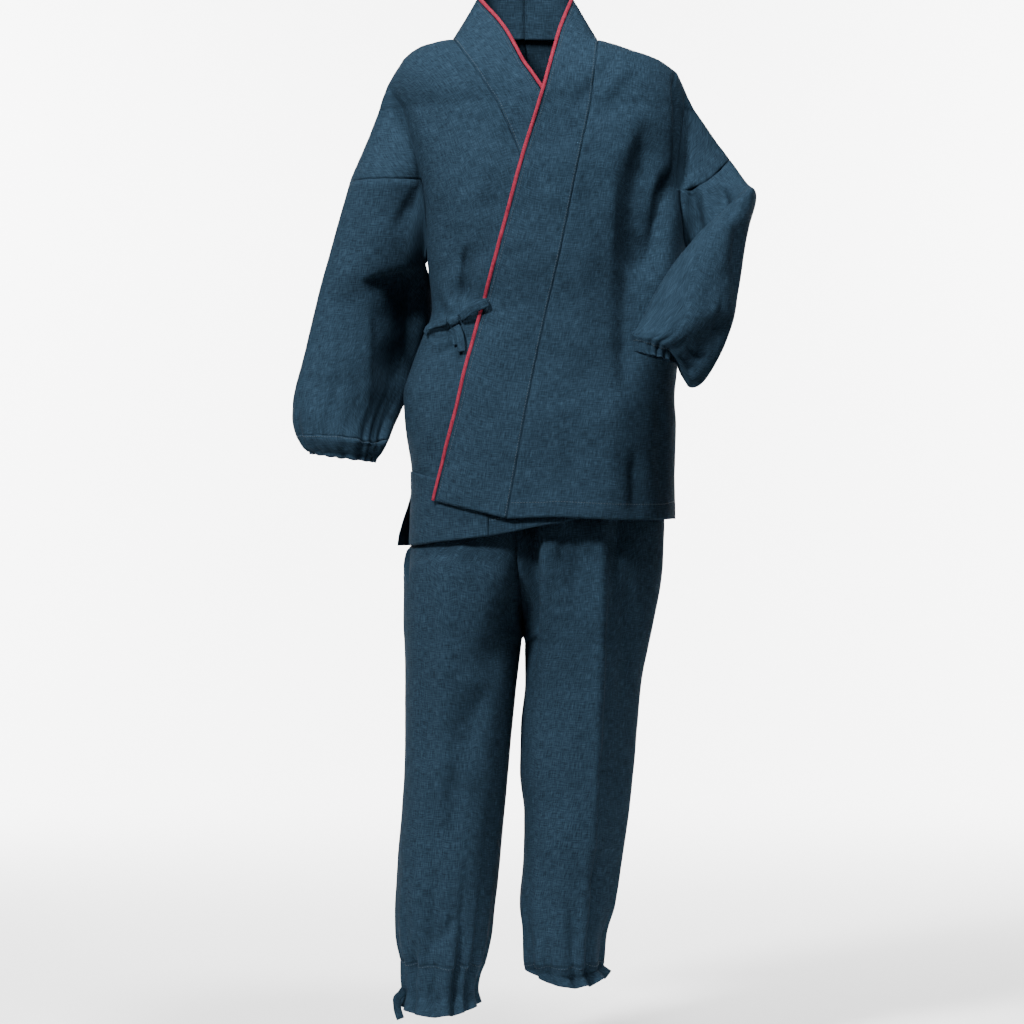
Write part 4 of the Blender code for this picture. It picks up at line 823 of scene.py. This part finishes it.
def add_mesh(name, points, faces, material):
    """A smooth mesh of these points, in metres."""
    mesh = bpy.data.meshes.new(name)
    mesh.from_pydata(points.tolist(), [], faces)
    mesh.shade_smooth()
    mesh.materials.append(material)
    return add_object(name, mesh)


class Cloth:
    """A sheet of cloth: its points as rows and columns, the way it faces and how far it is moved that way."""

    def __init__(self, name, grid, creases=None, closed=False, flip=False):
        if closed:  # the last column lies on the first
            grid = np.concatenate([grid, grid[:, :1]], axis=1)
        self.name, self.grid, self.creases = name, grid, creases
        self.relief, self.seam = np.zeros((2, *grid.shape[:2]))
        self.ways = None
        self.seam_share = SLEEVE_SEAM_SHARE if name.startswith(("sleeve", "cuff")) else SEAM_SHARE
        rows, columns = grid.shape[:2]
        number = np.arange(rows * columns).reshape(rows, columns)
        quads = np.stack([number[:-1, :-1], number[:-1, 1:], number[1:, 1:], number[1:, :-1]], axis=-1)
        quads = quads.reshape(-1, 4)
        quads = quads[~np.isnan(grid.reshape(-1, 3)[quads, 0]).any(axis=1)]
        self.quads = quads[:, ::-1] if flip else quads

    def facing(self):
        """The sum at each point of the ways that its faces face."""
        points = self.grid.reshape(-1, 3)
        corners = points[self.quads]
        ways = np.cross(corners[:, 2] - corners[:, 0], corners[:, 3] - corners[:, 1])
        total = np.zeros_like(points)
        for corner in range(4):
            np.add.at(total, self.quads[:, corner], ways)
        return total

    def flat_places(self):
        """Each point's place on the flat cloth, from its distances along its row and its column."""
        across = np.nan_to_num(np.linalg.norm(np.diff(self.grid, axis=1), axis=-1))
        down = np.nan_to_num(np.linalg.norm(np.diff(self.grid, axis=0), axis=-1))
        u = np.pad(np.cumsum(across, axis=1), ((0, 0), (1, 0)))
        v = np.pad(np.cumsum(down, axis=0), ((1, 0), (0, 0)))
        return np.stack([u, v], axis=-1)

    def build(self, material, thickness=CLOTH_THICKNESS, slot="slate_cotton"):
        """Makes the sheet as an object. Points that lie together become one."""
        points = self.grid.reshape(-1, 3)
        places = self.flat_places().reshape(-1, 2) * MM
        used, inverse = np.unique(self.quads, return_inverse=True)
        _, first, same = np.unique(np.round(points[used], 3), axis=0, return_index=True, return_inverse=True)
        corners = same.ravel()[inverse.ravel()].reshape(-1, 4)
        faces, uvs = [], []
        for face, flat in zip(corners.tolist(), places[self.quads].tolist()):
            kept = [n for n in range(4) if face[n] != face[n - 1]]
            if len(kept) > 2:
                faces.append([face[n] for n in kept])
                uvs += [flat[n] for n in kept]
        made = self.made = add_mesh("cloth_" + self.name, points[used][first] * MM, faces, material)
        made.data.uv_layers.new(name="cloth").data.foreach_set("uv", np.array(uvs).ravel())
        # The seam share, from which the cloth's material paints shade along the seams.
        sewn = made.data.attributes.new("seam", "FLOAT", "POINT")
        sewn.data.foreach_set("value", self.seam.ravel()[used][first])
        if thickness:
            wall = made.modifiers.new("thickness", "SOLIDIFY")
            wall.thickness = thickness * MM
            wall.offset = -1
        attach(made, "root")
        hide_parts(self.name)

    def cut(self, held, layers=1):
        """Does nothing; the size that the sheet was cut to is not stated.

        Only the knot's own area is under LEAST_AREA of width times length, so that floor is what it states.
        """

    def line(self, distance, across=False, last=False):
        """Points and ways along a line at this distance from the first row, or column, or from the last."""
        grid, ways = self.grid, self.ways
        if across:
            grid, ways = np.swapaxes(grid, 0, 1), np.swapaxes(ways, 0, 1)
        if last:
            grid, ways = grid[::-1], ways[::-1]
        found = []
        for points, faces in zip(np.swapaxes(grid, 0, 1), np.swapaxes(ways, 0, 1)):
            whole = ~np.isnan(points[:, 0])
            points, faces = points[whole], faces[whole]
            run = along(points)
            if whole[0] and run[-1] > distance:
                found.append([np.interp(distance, run, part) for part in (*points.T, *faces.T)])
        found = np.array(found)
        return found[:, :3], found[:, 3:]


def join_seams(sheets):
    """Moves the cloth by its creases, alike on both sides of every seam, sinks the seams and keeps each
    seam's share for the painted shade along it.
    """
    points = np.concatenate([s.grid.reshape(-1, 3) for s in sheets])
    facing = np.concatenate([s.facing() for s in sheets])
    panel = np.repeat(np.arange(len(sheets)), [s.relief.size for s in sheets])
    _, place = np.unique(np.round(np.nan_to_num(points, nan=1e6), 2), axis=0, return_inverse=True)
    place = place.ravel()
    total = np.zeros((place.max() + 1, 3))
    np.add.at(total, place, facing)
    ways = unit(total[place])
    first, last = np.full(len(total), len(sheets)), np.full(len(total), -1)
    np.minimum.at(first, place, panel)
    np.maximum.at(last, place, panel)
    seamed = (first < last)[place] & ~np.isnan(points[:, 0])
    ends = np.cumsum([s.relief.size for s in sheets])[:-1]
    moves = []
    for s, own, way in zip(sheets, np.split(points, ends), np.split(ways, ends)):
        x, z = own[:, 0], own[:, 2]
        move = -sum(crease_depth(c, x, z) * ease(way[:, 1] * y * FACING) for c, y in zip(s.creases, (-1, 1)))
        calm = 1 - SIDE_CALM * ease((np.abs(way[:, 0]) - 0.6) / 0.3)
        moves.append(np.nan_to_num(move + swell(own) * calm + s.relief.ravel()))
    shared, count = np.zeros((2, len(total)))
    np.add.at(shared, place, np.concatenate(moves))
    np.add.at(count, place, 1)
    # The seam share sinks the cloth along each seam and sets how much shade is painted there.
    sewn = np.ones(len(total))
    np.minimum.at(sewn, place, np.concatenate([np.full(s.relief.size, s.seam_share) for s in sheets]))
    sewn = sewn[place] * seamed
    moved = points + ways * ((shared / count)[place] - SEAM_DEPTH * sewn)[:, None]
    for s, *own in zip(sheets, *(np.split(of, ends) for of in (moved, ways, sewn))):
        s.grid, s.ways, s.seam = (of.reshape(s.relief.shape + of.shape[1:]) for of in own)


def rounded(points, steps, closed):
    """The points along the first axis with others between them, on a smooth curve."""
    if closed:
        points = np.concatenate([points[-1:], points, points[:2]])
    else:
        points = np.concatenate([2 * points[:1] - points[1:2], points, 2 * points[-1:] - points[-2:-1]])
    count = len(points) - 3
    a, b, c, d = (points[n : n + count, None] for n in range(4))
    t = (np.arange(steps) / steps).reshape(1, -1, *[1] * (points.ndim - 1))
    curve = b + t / 2 * (c - a + t * (2 * a - 5 * b + 4 * c - d + t * (3 * (b - c) + d - a)))
    curve = curve.reshape(-1, *points.shape[1:])
    return curve if closed else np.concatenate([curve, points[-2:-1]])


def fine_sleeve(side, loop, turns, parts):
    """A sleeve's rings, rounded out from the coarse ones, the first of them exactly on the armhole."""
    rings = sleeve_grid(side, loop[::COARSE], turns[::COARSE], parts, SLEEVE_ROWS[side])
    first = SLEEVE_ROWS[side][0]
    if len(parts) > 1:  # both parts have the ring at which they meet
        meeting = rings[first : first + 2].mean(axis=0)[None]
        rings = np.concatenate([rings[:first], meeting, rings[first + 2 :]])
    fine = np.swapaxes(rounded(np.swapaxes(rings, 0, 1), COARSE, True), 0, 1)
    fine = rounded(fine, SLEEVE_FINENESS, False)
    fade = 1 - ease(np.arange(len(fine)) / SLEEVE_FINENESS)
    return fine + (loop - fine[0]) * fade[:, None, None]


def hanging_band(sizes, ring, rows, dip=0):
    """A cuff or hem as rings that go down from the given one."""
    turns = around(len(ring))
    rings = [ring]
    for share in np.linspace(0, 1, rows + 1)[1:]:
        lower = ring_stations(sizes, share, turns)
        lower[:, 2] -= dip * share * np.clip(np.sin(turns), 0, 1) ** 2
        rings.append(lower)
    return np.array(rings)


def puffs(count, gathers, seed):
    """Uneven gathers round a ring of points: broad puffs between narrow creases, from -1 to 1."""
    turns = around(count)
    phase = gathers * turns + 0.9 * np.sin(2 * turns + seed) + 0.6 * np.sin(5 * turns + 2.1 * seed)
    height = 0.72 + 0.28 * np.sin(3 * turns + 1.7 * seed)
    return height * (2 * np.sqrt((np.cos(phase / 2) ** 2 + 0.03) / 1.03) - 1.1)


def gather(sheets, band, waves, depth, reach, shortest, growth):
    """Raises gathers on a band, and lets them run out into the sheets above it, each at its own height."""
    for sheet, wave, far in zip(sheets, waves, (sheet.flat_places()[..., 1] for sheet in sheets)):
        if sheet.grid[0, 0, 2] > sheet.grid[-1, 0, 2]:  # its rows go down to the band
            far = far[-1:] - far
        own = shortest + GATHER_SPREAD * np.abs(np.sin(np.arange(len(wave)) * GATHER_STEP))
        sheet.relief += depth * np.exp(-((far / (reach * own)) ** 1.5)) * wave
    share = np.linspace(0, 1, len(band.grid))[:, None]
    band.relief += depth * (1 + (growth - 1) * share) * waves[-1]


def sew_stitches(name, path, thread, pitch=3.8, length=2.7, radius=0.34):
    """A row of stitches along a path of points with the ways that the cloth faces there."""
    points, ways = path
    run = along(points)
    middles = np.arange(pitch, run[-1] - pitch / 2, pitch)
    turns = around(STITCH_SIDES)
    rings = []
    for share, size, lift in STITCH_RINGS:
        at = middles + share * length
        centre = np.stack([np.interp(at, run, c) for c in points.T], axis=-1)
        up = np.stack([np.interp(at, run, c) for c in ways.T], axis=-1)
        ahead = np.stack([np.interp(at + 0.5, run, c) for c in points.T], axis=-1) - centre
        beside = unit(np.cross(ahead, up))
        centre += up * lift * radius
        way = np.cos(turns)[:, None] * beside[:, None] + np.sin(turns)[:, None] * up[:, None]
        rings.append(centre[:, None] + radius * size * way)
    rings = np.stack(rings, axis=1)
    faces, ends = [], (len(STITCH_RINGS) - 1) * STITCH_SIDES
    for base in range(0, len(middles) * (ends + STITCH_SIDES), ends + STITCH_SIDES):
        for a in range(base, base + ends, STITCH_SIDES):
            for j in range(STITCH_SIDES):
                k = (j + 1) % STITCH_SIDES
                faces.append((a + j, a + k, a + k + STITCH_SIDES, a + j + STITCH_SIDES))
        faces.append(tuple(base + j for j in reversed(range(STITCH_SIDES))))
        faces.append(tuple(base + ends + j for j in range(STITCH_SIDES)))
    made = add_mesh(name, rings.reshape(-1, 3) * MM, faces, thread)
    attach(made, "root")


def tape_grid(middle, deep, wide_size, deep_size, sides=14, power=2.0):
    """The rings of a flattened tube along a line, closed at both ends."""
    run = np.gradient(middle, axis=0)
    wide = unit(np.cross(deep, run))
    deep = unit(np.cross(run, wide))
    cosine, sine = (squared(of(around(sides)), power) for of in (np.cos, np.sin))
    wide_size, deep_size = (np.broadcast_to(s, len(middle))[:, None, None] for s in (wide_size, deep_size))
    rings = middle[:, None] + cosine[:, None] * wide[:, None] * wide_size
    rings = rings + sine[:, None] * deep[:, None] * deep_size
    ends = [np.repeat(middle[n][None, None], sides, axis=1) for n in (0, -1)]
    return np.concatenate([ends[0], rings, ends[1]])


def colour(code):
    """A linear colour from an sRGB hex code."""
    shares = [int(code[n : n + 2], 16) / 255 for n in (1, 3, 5)]
    return (*(((s + 0.055) / 1.055) ** 2.4 if s > 0.04045 else s / 12.92 for s in shares), 1.0)


def woven_cotton(name, base, slub, dark, roughness, mottle):
    """Plain-woven cotton with slubs, the thicker places of its yarns, as streaks along warp and weft.
    It gives the eye fine crosswise streaks, a cloudy unevenness of the dye and a dull, dry surface, and it
    paints shade along the seams."""
    made = bpy.data.materials.new(name)
    made.use_nodes = True
    tree = made.node_tree
    shader = tree.nodes["Principled BSDF"]

    def node(kind, output, links, **settings):
        """Adds a shader node with its own settings, links or sets its inputs, and gives one output."""
        added = tree.nodes.new("ShaderNode" + kind)
        for setting, value in settings.items():
            setattr(added, setting, value)
        for socket, value in links.items():
            if isinstance(value, bpy.types.NodeSocket):
                tree.links.new(value, added.inputs[socket])
            else:
                added.inputs[socket].default_value = value
        return added.outputs[output]

    places = node("UVMap", "UV", {}, uv_map="cloth")
    streaks = {}
    # The yarns are about 0.6 mm thick, too fine for the picture, so the streaks are drawn 1.5 to 2 mm thick.
    for yarn, stretch in enumerate(((1000, 75, 1), (80, 1050, 1))):
        stretched = node("Mapping", "Vector", {"Vector": places, "Scale": stretch})
        streaks[yarn] = node("TexNoise", "Fac", {"Vector": stretched, "Scale": 1.0, "Detail": 2.0})
    woven = node("Math", "Value", streaks, operation="ADD")
    lit = node("MapRange", "Result", {"Value": woven, "From Min": 0.95, "From Max": 1.3})
    sunk = node("MapRange", "Result", {"Value": woven, "From Min": 0.96, "From Max": 0.66})
    place = node("TexCoord", "Object", {})
    cloud = node("TexNoise", "Fac", {"Vector": place, "Scale": 7.0, "Detail": 2.0})
    first = node("MixRGB", "Color", {0: lit, 1: colour(base), 2: colour(slub)})
    second = node("MixRGB", "Color", {0: sunk, 1: first, 2: colour(dark)})
    dye = {"From Min": 0.3, "From Max": 0.7, "To Min": 1 - mottle, "To Max": 1 + mottle}
    shade = node("MapRange", "Result", {"Value": cloud, **dye})
    # Painted shade: the colour darkens along the seams, by up to 0.15 where the seam share is 1.
    sewn = node("Attribute", "Fac", {}, attribute_name="seam")
    seam_painted_shade = node("MapRange", "Result", {"Value": sewn, "To Min": 1.0, "To Max": 0.85})
    both = node("Math", "Value", {0: shade, 1: seam_painted_shade}, operation="MULTIPLY")
    tinted = node("HueSaturation", "Color", {"Value": both, "Color": second})
    bump = node("Bump", "Normal", {"Height": woven, "Strength": 0.5, "Distance": 0.0006})
    tree.links.new(tinted, shader.inputs["Base Color"])
    tree.links.new(bump, shader.inputs["Normal"])
    shader.inputs["Roughness"].default_value = roughness
    shader.inputs["Specular IOR Level"].default_value = 0.02
    return made


def plain(name, code, roughness):
    made = bpy.data.materials.new(name)
    made.use_nodes = True
    shader = made.node_tree.nodes["Principled BSDF"]
    shader.inputs["Base Color"].default_value = colour(code)
    shader.inputs["Roughness"].default_value = roughness
    return made


def make_jacket(cloth, thread, red):
    on_front = np.linspace(0, 1, FRONT_COLUMNS + 1) ** COLUMN_SPREAD
    on_neck = np.linspace(0, NECK_SHARE, NECK_COLUMNS + 1)[:-1]
    on_back = np.concatenate([on_neck, NECK_SHARE + (1 - NECK_SHARE) * on_front])
    parts = {RIGHT: [RIGHT_SLEEVE], LEFT: [LEFT_UPPER_SLEEVE, LEFT_FOREARM]}
    sleeve_creases = {
        RIGHT: (RIGHT_SLEEVE_CREASES, RIGHT_SLEEVE_BACK_CREASES),
        LEFT: (LEFT_SLEEVE_CREASES, LEFT_SLEEVE_BACK_CREASES),
    }
    body_creases = BODY_CREASES, BACK_CREASES
    sheets = {}
    for side, name in NAMES.items():
        front = body_grid(side, False, on_front)
        back = body_grid(side, True, on_back, lengths(front[TOP_ROW]))
        loop, turns = armhole(front, back)
        rings = fine_sleeve(side, loop, turns, parts[side])
        for part, grid, creases, turned in (
            ("front", front, body_creases, RIGHT),
            ("back", back, body_creases, LEFT),
            ("collar", collar_grid(side, front), body_creases, RIGHT),
            ("sleeve", rings, sleeve_creases[side], RIGHT),
            ("cuff", hanging_band(CUFFS[side], rings[-1], CUFF_ROWS), sleeve_creases[side], RIGHT),
        ):
            closed = part in ("sleeve", "cuff")
            sheets[f"{part}_{name}"] = Cloth(f"{part}_{name}", grid, creases, closed, flip=side == turned)
        gathers, *sizes = SLEEVE_PUCKERS[side]
        wave = puffs(len(loop), gathers, CUFF_SEED[side])
        sleeve, cuff = (sheets[f"{part}_{name}"] for part in ("sleeve", "cuff"))
        gather([sleeve], cuff, [np.append(wave, wave[0])], *sizes)
        for sheet, share in ((sheets[f"front_{name}"], 1), (sheets[f"back_{name}"], 0)):
            u, v = np.moveaxis(sheet.flat_places(), -1, 0)
            sheet.relief += HEM_RISE * ease((HEM_TURN - v) / 3 + 0.5)
            sheet.relief += share * ALLOWANCE_RISE * ease((ALLOWANCE_WIDTH - u) / 3 + 0.5)
    join_seams(list(sheets.values()))
    for name, sheet in sheets.items():
        sheet.build(cloth, COLLAR_WALL if name.startswith("collar") else CLOTH_THICKNESS)
        sheet.cut("gathered" if name.startswith("cuff") else "hung")
    for side, name in NAMES.items():
        front, back, collar, cuff = (sheets[f"{part}_{name}"] for part in ("front", "back", "collar", "cuff"))
        for place, path in (
            ("collar", collar.line(3.0, across=True)),
            ("collar_edge", collar.line(4.0, across=True, last=True)),
            ("hem", front.line(HEM_TURN)),
            ("back_hem", back.line(HEM_TURN)),
            ("cuff", cuff.line(BAND_STITCHES)),
        ):
            sew_stitches(f"stitches_{place}_{name}", path, thread)
        make_piping(side, collar, red)
    return sheets


def make_piping(side, collar, red):
    """The red piping on a collar half's free edge: a cord in a folded strip."""
    middle, face = piping_path(side, collar.grid)
    grid = tape_grid(middle, face, PIPING_WIDTH / 2, PIPING_DEPTH / 2)
    piping = Cloth(f"piping_{NAMES[side]}", grid, closed=True)
    piping.build(red, thickness=0, slot="red_cotton")
    piping.cut("stretched", layers=2)


def make_pocket(front, cloth, thread):
    """The patch pocket, as a sheet on the moved cloth of the right front, its mouth standing a little off."""
    start = int(np.argmin(np.abs(front.grid[BODY_ROWS[0], : FRONT_COLUMNS + 1, 0] - POCKET_INNER_X)))
    columns = []
    for j in range(start, FRONT_COLUMNS + 1):
        points, ways = front.grid[:, j], front.ways[:, j]
        foot = points[0, 2] + POCKET_FOOT
        mouth = np.interp(points[BODY_ROWS[0], 0], POCKET_MOUTH["x"], POCKET_MOUTH["height"])
        at = np.linspace(mouth, foot, POCKET_ROWS)
        order = slice(0, BODY_ROWS[0] + 12)  # up to well above the mouth
        found = [np.interp(at, points[order, 2], part[order]) for part in (*points.T, *ways.T)]
        columns.append(np.array(found).T)
    found = np.stack(columns, axis=1)
    points, ways = found[..., :3], found[..., 3:]
    points[:, -1] += (points[:, -2] - points[:, -1]) * 0.3
    pocket = Cloth("pocket", points, flip=True)
    far = pocket.flat_places()[..., 1]
    beside = np.linspace(0, 1, points.shape[1])
    open_share = ease(beside / 0.3) * ease((1 - beside) / 0.3)
    off = POCKET_CLOTH + POCKET_OFF + POCKET_GAPE * np.exp(-((far / POCKET_GAPE_REACH) ** 2)) * open_share
    off += POCKET_TURN_RISE * ease((POCKET_TURN - far) / 3 + 0.5)
    pocket.grid, pocket.ways = points + ways * off[..., None], ways
    pocket.build(cloth, POCKET_CLOTH)
    pocket.cut("hung")
    for number, distance in enumerate(POCKET_STITCHES):
        sew_stitches(f"stitches_pocket_{number}", pocket.line(distance), thread)


def make_folded(name, cloth, grid):
    """A piece of tape, which is a strip folded to two layers."""
    tape = Cloth(name, grid, closed=True)
    tape.build(cloth, thickness=0)
    tape.cut("folded", layers=2)


def make_tape(name, cloth, middle, deep):
    make_folded(name, cloth, tape_grid(middle, deep, TAPE_WIDTH / 2, TAPE_DEPTH / 2, power=TAPE_SQUARENESS))


def make_tie(cloth):
    """The knot at the right side with its strap, its loop and its two tails."""
    for name, line in TIE_LINES.items():
        x, z, off = smooth_line(line, "x height off", 3 * TIE_STATIONS[name]).T
        middle, deep = off_front(x, z, off + (STRAP_LIFT if name == "tie_strap" else 0))
        middle += deep * swell(middle)[:, None]
        if name == "tie_loop":  # the tape turns back on itself at the loop's end
            deep = np.cross(np.gradient(middle, axis=0), [-0.37, 0, 0.93])
        make_tape(name, cloth, middle, deep)
    z = smooth_line({"z": KNOT["height"]}, "z", 15)[:, 0]
    centre, deep = off_front(np.array([KNOT_X]), z.mean(keepdims=True), np.array([KNOT_OFF]))
    middle = np.repeat(centre + deep * swell(centre), len(z), axis=0)
    middle[:, 2] = z
    wide = np.interp(z, KNOT["height"], KNOT["wide"])
    out = np.interp(z, KNOT["height"], KNOT["deep"])
    grid = tape_grid(middle, np.tile([0, -1.0, 0], (len(z), 1)), wide, out, sides=24)
    make_folded("tie_knot", cloth, grid)


def make_ankle_cord(cloth):
    """The cord's end at the right ankle."""
    middle = smooth_line(ANKLE_CORD, "x y height", 27)
    make_tape("ankle_cord", cloth, middle, np.tile([0.3, -1.0, 0.0], (len(middle), 1)))


def make_trousers(cloth, thread):
    creases = LEG_CREASES, LEG_BACK_CREASES
    sheets, grids = {}, {}
    for side, name in NAMES.items():
        grids[side] = front, back = [leg_panel(side, back) for back in (False, True)]
        legs = [
            Cloth(f"leg_front_{name}", front, creases, flip=side == LEFT),
            Cloth(f"leg_back_{name}", back, creases, flip=side == RIGHT),
        ]
        lowest = np.concatenate([front[0], back[0, -2:0:-1]])
        band = hanging_band(HEMS[side], lowest, FRILL_ROWS, HEM_FRONT_DIP[side])
        hem = Cloth(f"hem_{name}", band, creases, closed=True, flip=side == RIGHT)
        gathers, *sizes = LEG_PUCKERS[side]
        wave = puffs(len(lowest), gathers, HEM_SEED[side])
        wave = np.append(wave, wave[0])
        gather(legs, hem, [wave[: LEG_COLUMNS + 1], wave[: LEG_COLUMNS - 1 : -1], wave], *sizes)
        sheets.update({sheet.name: sheet for sheet in (*legs, hem)})
    sheets["waistband"] = Cloth("waistband", waistband_grid(grids), creases, closed=True)
    join_seams(list(sheets.values()))
    for name, sheet in sheets.items():
        sheet.build(cloth)
        sheet.cut("gathered" if name.startswith(("hem", "waist")) else "hung")
    for name in NAMES.values():
        sew_stitches(f"stitches_ankle_{name}", sheets[f"hem_{name}"].line(BAND_STITCHES), thread)


def add_light(name, place, target, size, power):
    """A soft white square lamp that points at a target, with both places in metres."""
    lamp = bpy.data.lights.new(name, "AREA")
    lamp.size, lamp.energy = size, power
    made = add_object(name, lamp)
    made.location = place
    way = np.array(target, float) - place
    made.rotation_euler = (math.atan2(np.hypot(way[0], way[1]), -way[2]), 0, math.atan2(-way[0], way[1]))


def make_stage():
    """Seamless white paper: a floor that curves up into a backdrop."""
    turns = np.linspace(0, math.pi / 2, 13)
    floor, middle = FLOOR_HEIGHT * MM, PAPER_BEHIND - PAPER_BEND
    curve = [(middle + PAPER_BEND * math.sin(t), floor + PAPER_BEND * (1 - math.cos(t))) for t in turns]
    side = [(PAPER_FRONT, floor), *curve, (PAPER_BEHIND, PAPER_TOP)]
    points = np.array([(x, y, z) for y, z in side for x in (-PAPER_SIDE, PAPER_SIDE)])
    faces = [(2 * n, 2 * n + 1, 2 * n + 3, 2 * n + 2) for n in range(len(side) - 1)]
    add_mesh("paper", points, faces, plain("backdrop_paper", "#f4f4f4", 0.95))


def make_studio():
    make_stage()
    for name, lamp in LAMPS.items():
        add_light(name, *lamp)
    world = bpy.data.worlds.new("studio")
    world.use_nodes = True
    background = world.node_tree.nodes["Background"].inputs
    background["Color"].default_value = colour("#ffffff")
    background["Strength"].default_value = 0.02  # hardly any light from all round, so the folds stay dark
    bpy.context.scene.world = world
    camera = bpy.data.cameras.new("camera")
    camera.sensor_width = SENSOR
    camera.lens = SENSOR * CAMERA_DISTANCE / PICTURE_WIDTH
    made = add_object("camera", camera)
    made.location = (CAMERA_X * MM, -CAMERA_DISTANCE * MM, CAMERA_HEIGHT * MM)
    made.rotation_euler = (math.pi / 2, 0, 0)
    bpy.context.scene.camera = made


def main():
    cloth = woven_cotton("slate_cotton", "#14202a", "#1f2e3a", "#0e171e", 0.95, 0.03)
    red = woven_cotton("red_cotton", "#5f1b28", "#702634", "#42121c", 0.9, 0.03)
    thread = plain("sewing_thread", "#16252f", 0.9)
    sheets = make_jacket(cloth, thread, red)
    make_pocket(sheets["front_right"], cloth, thread)
    make_tie(cloth)
    make_trousers(cloth, thread)
    make_ankle_cord(cloth)
    make_studio()


main()
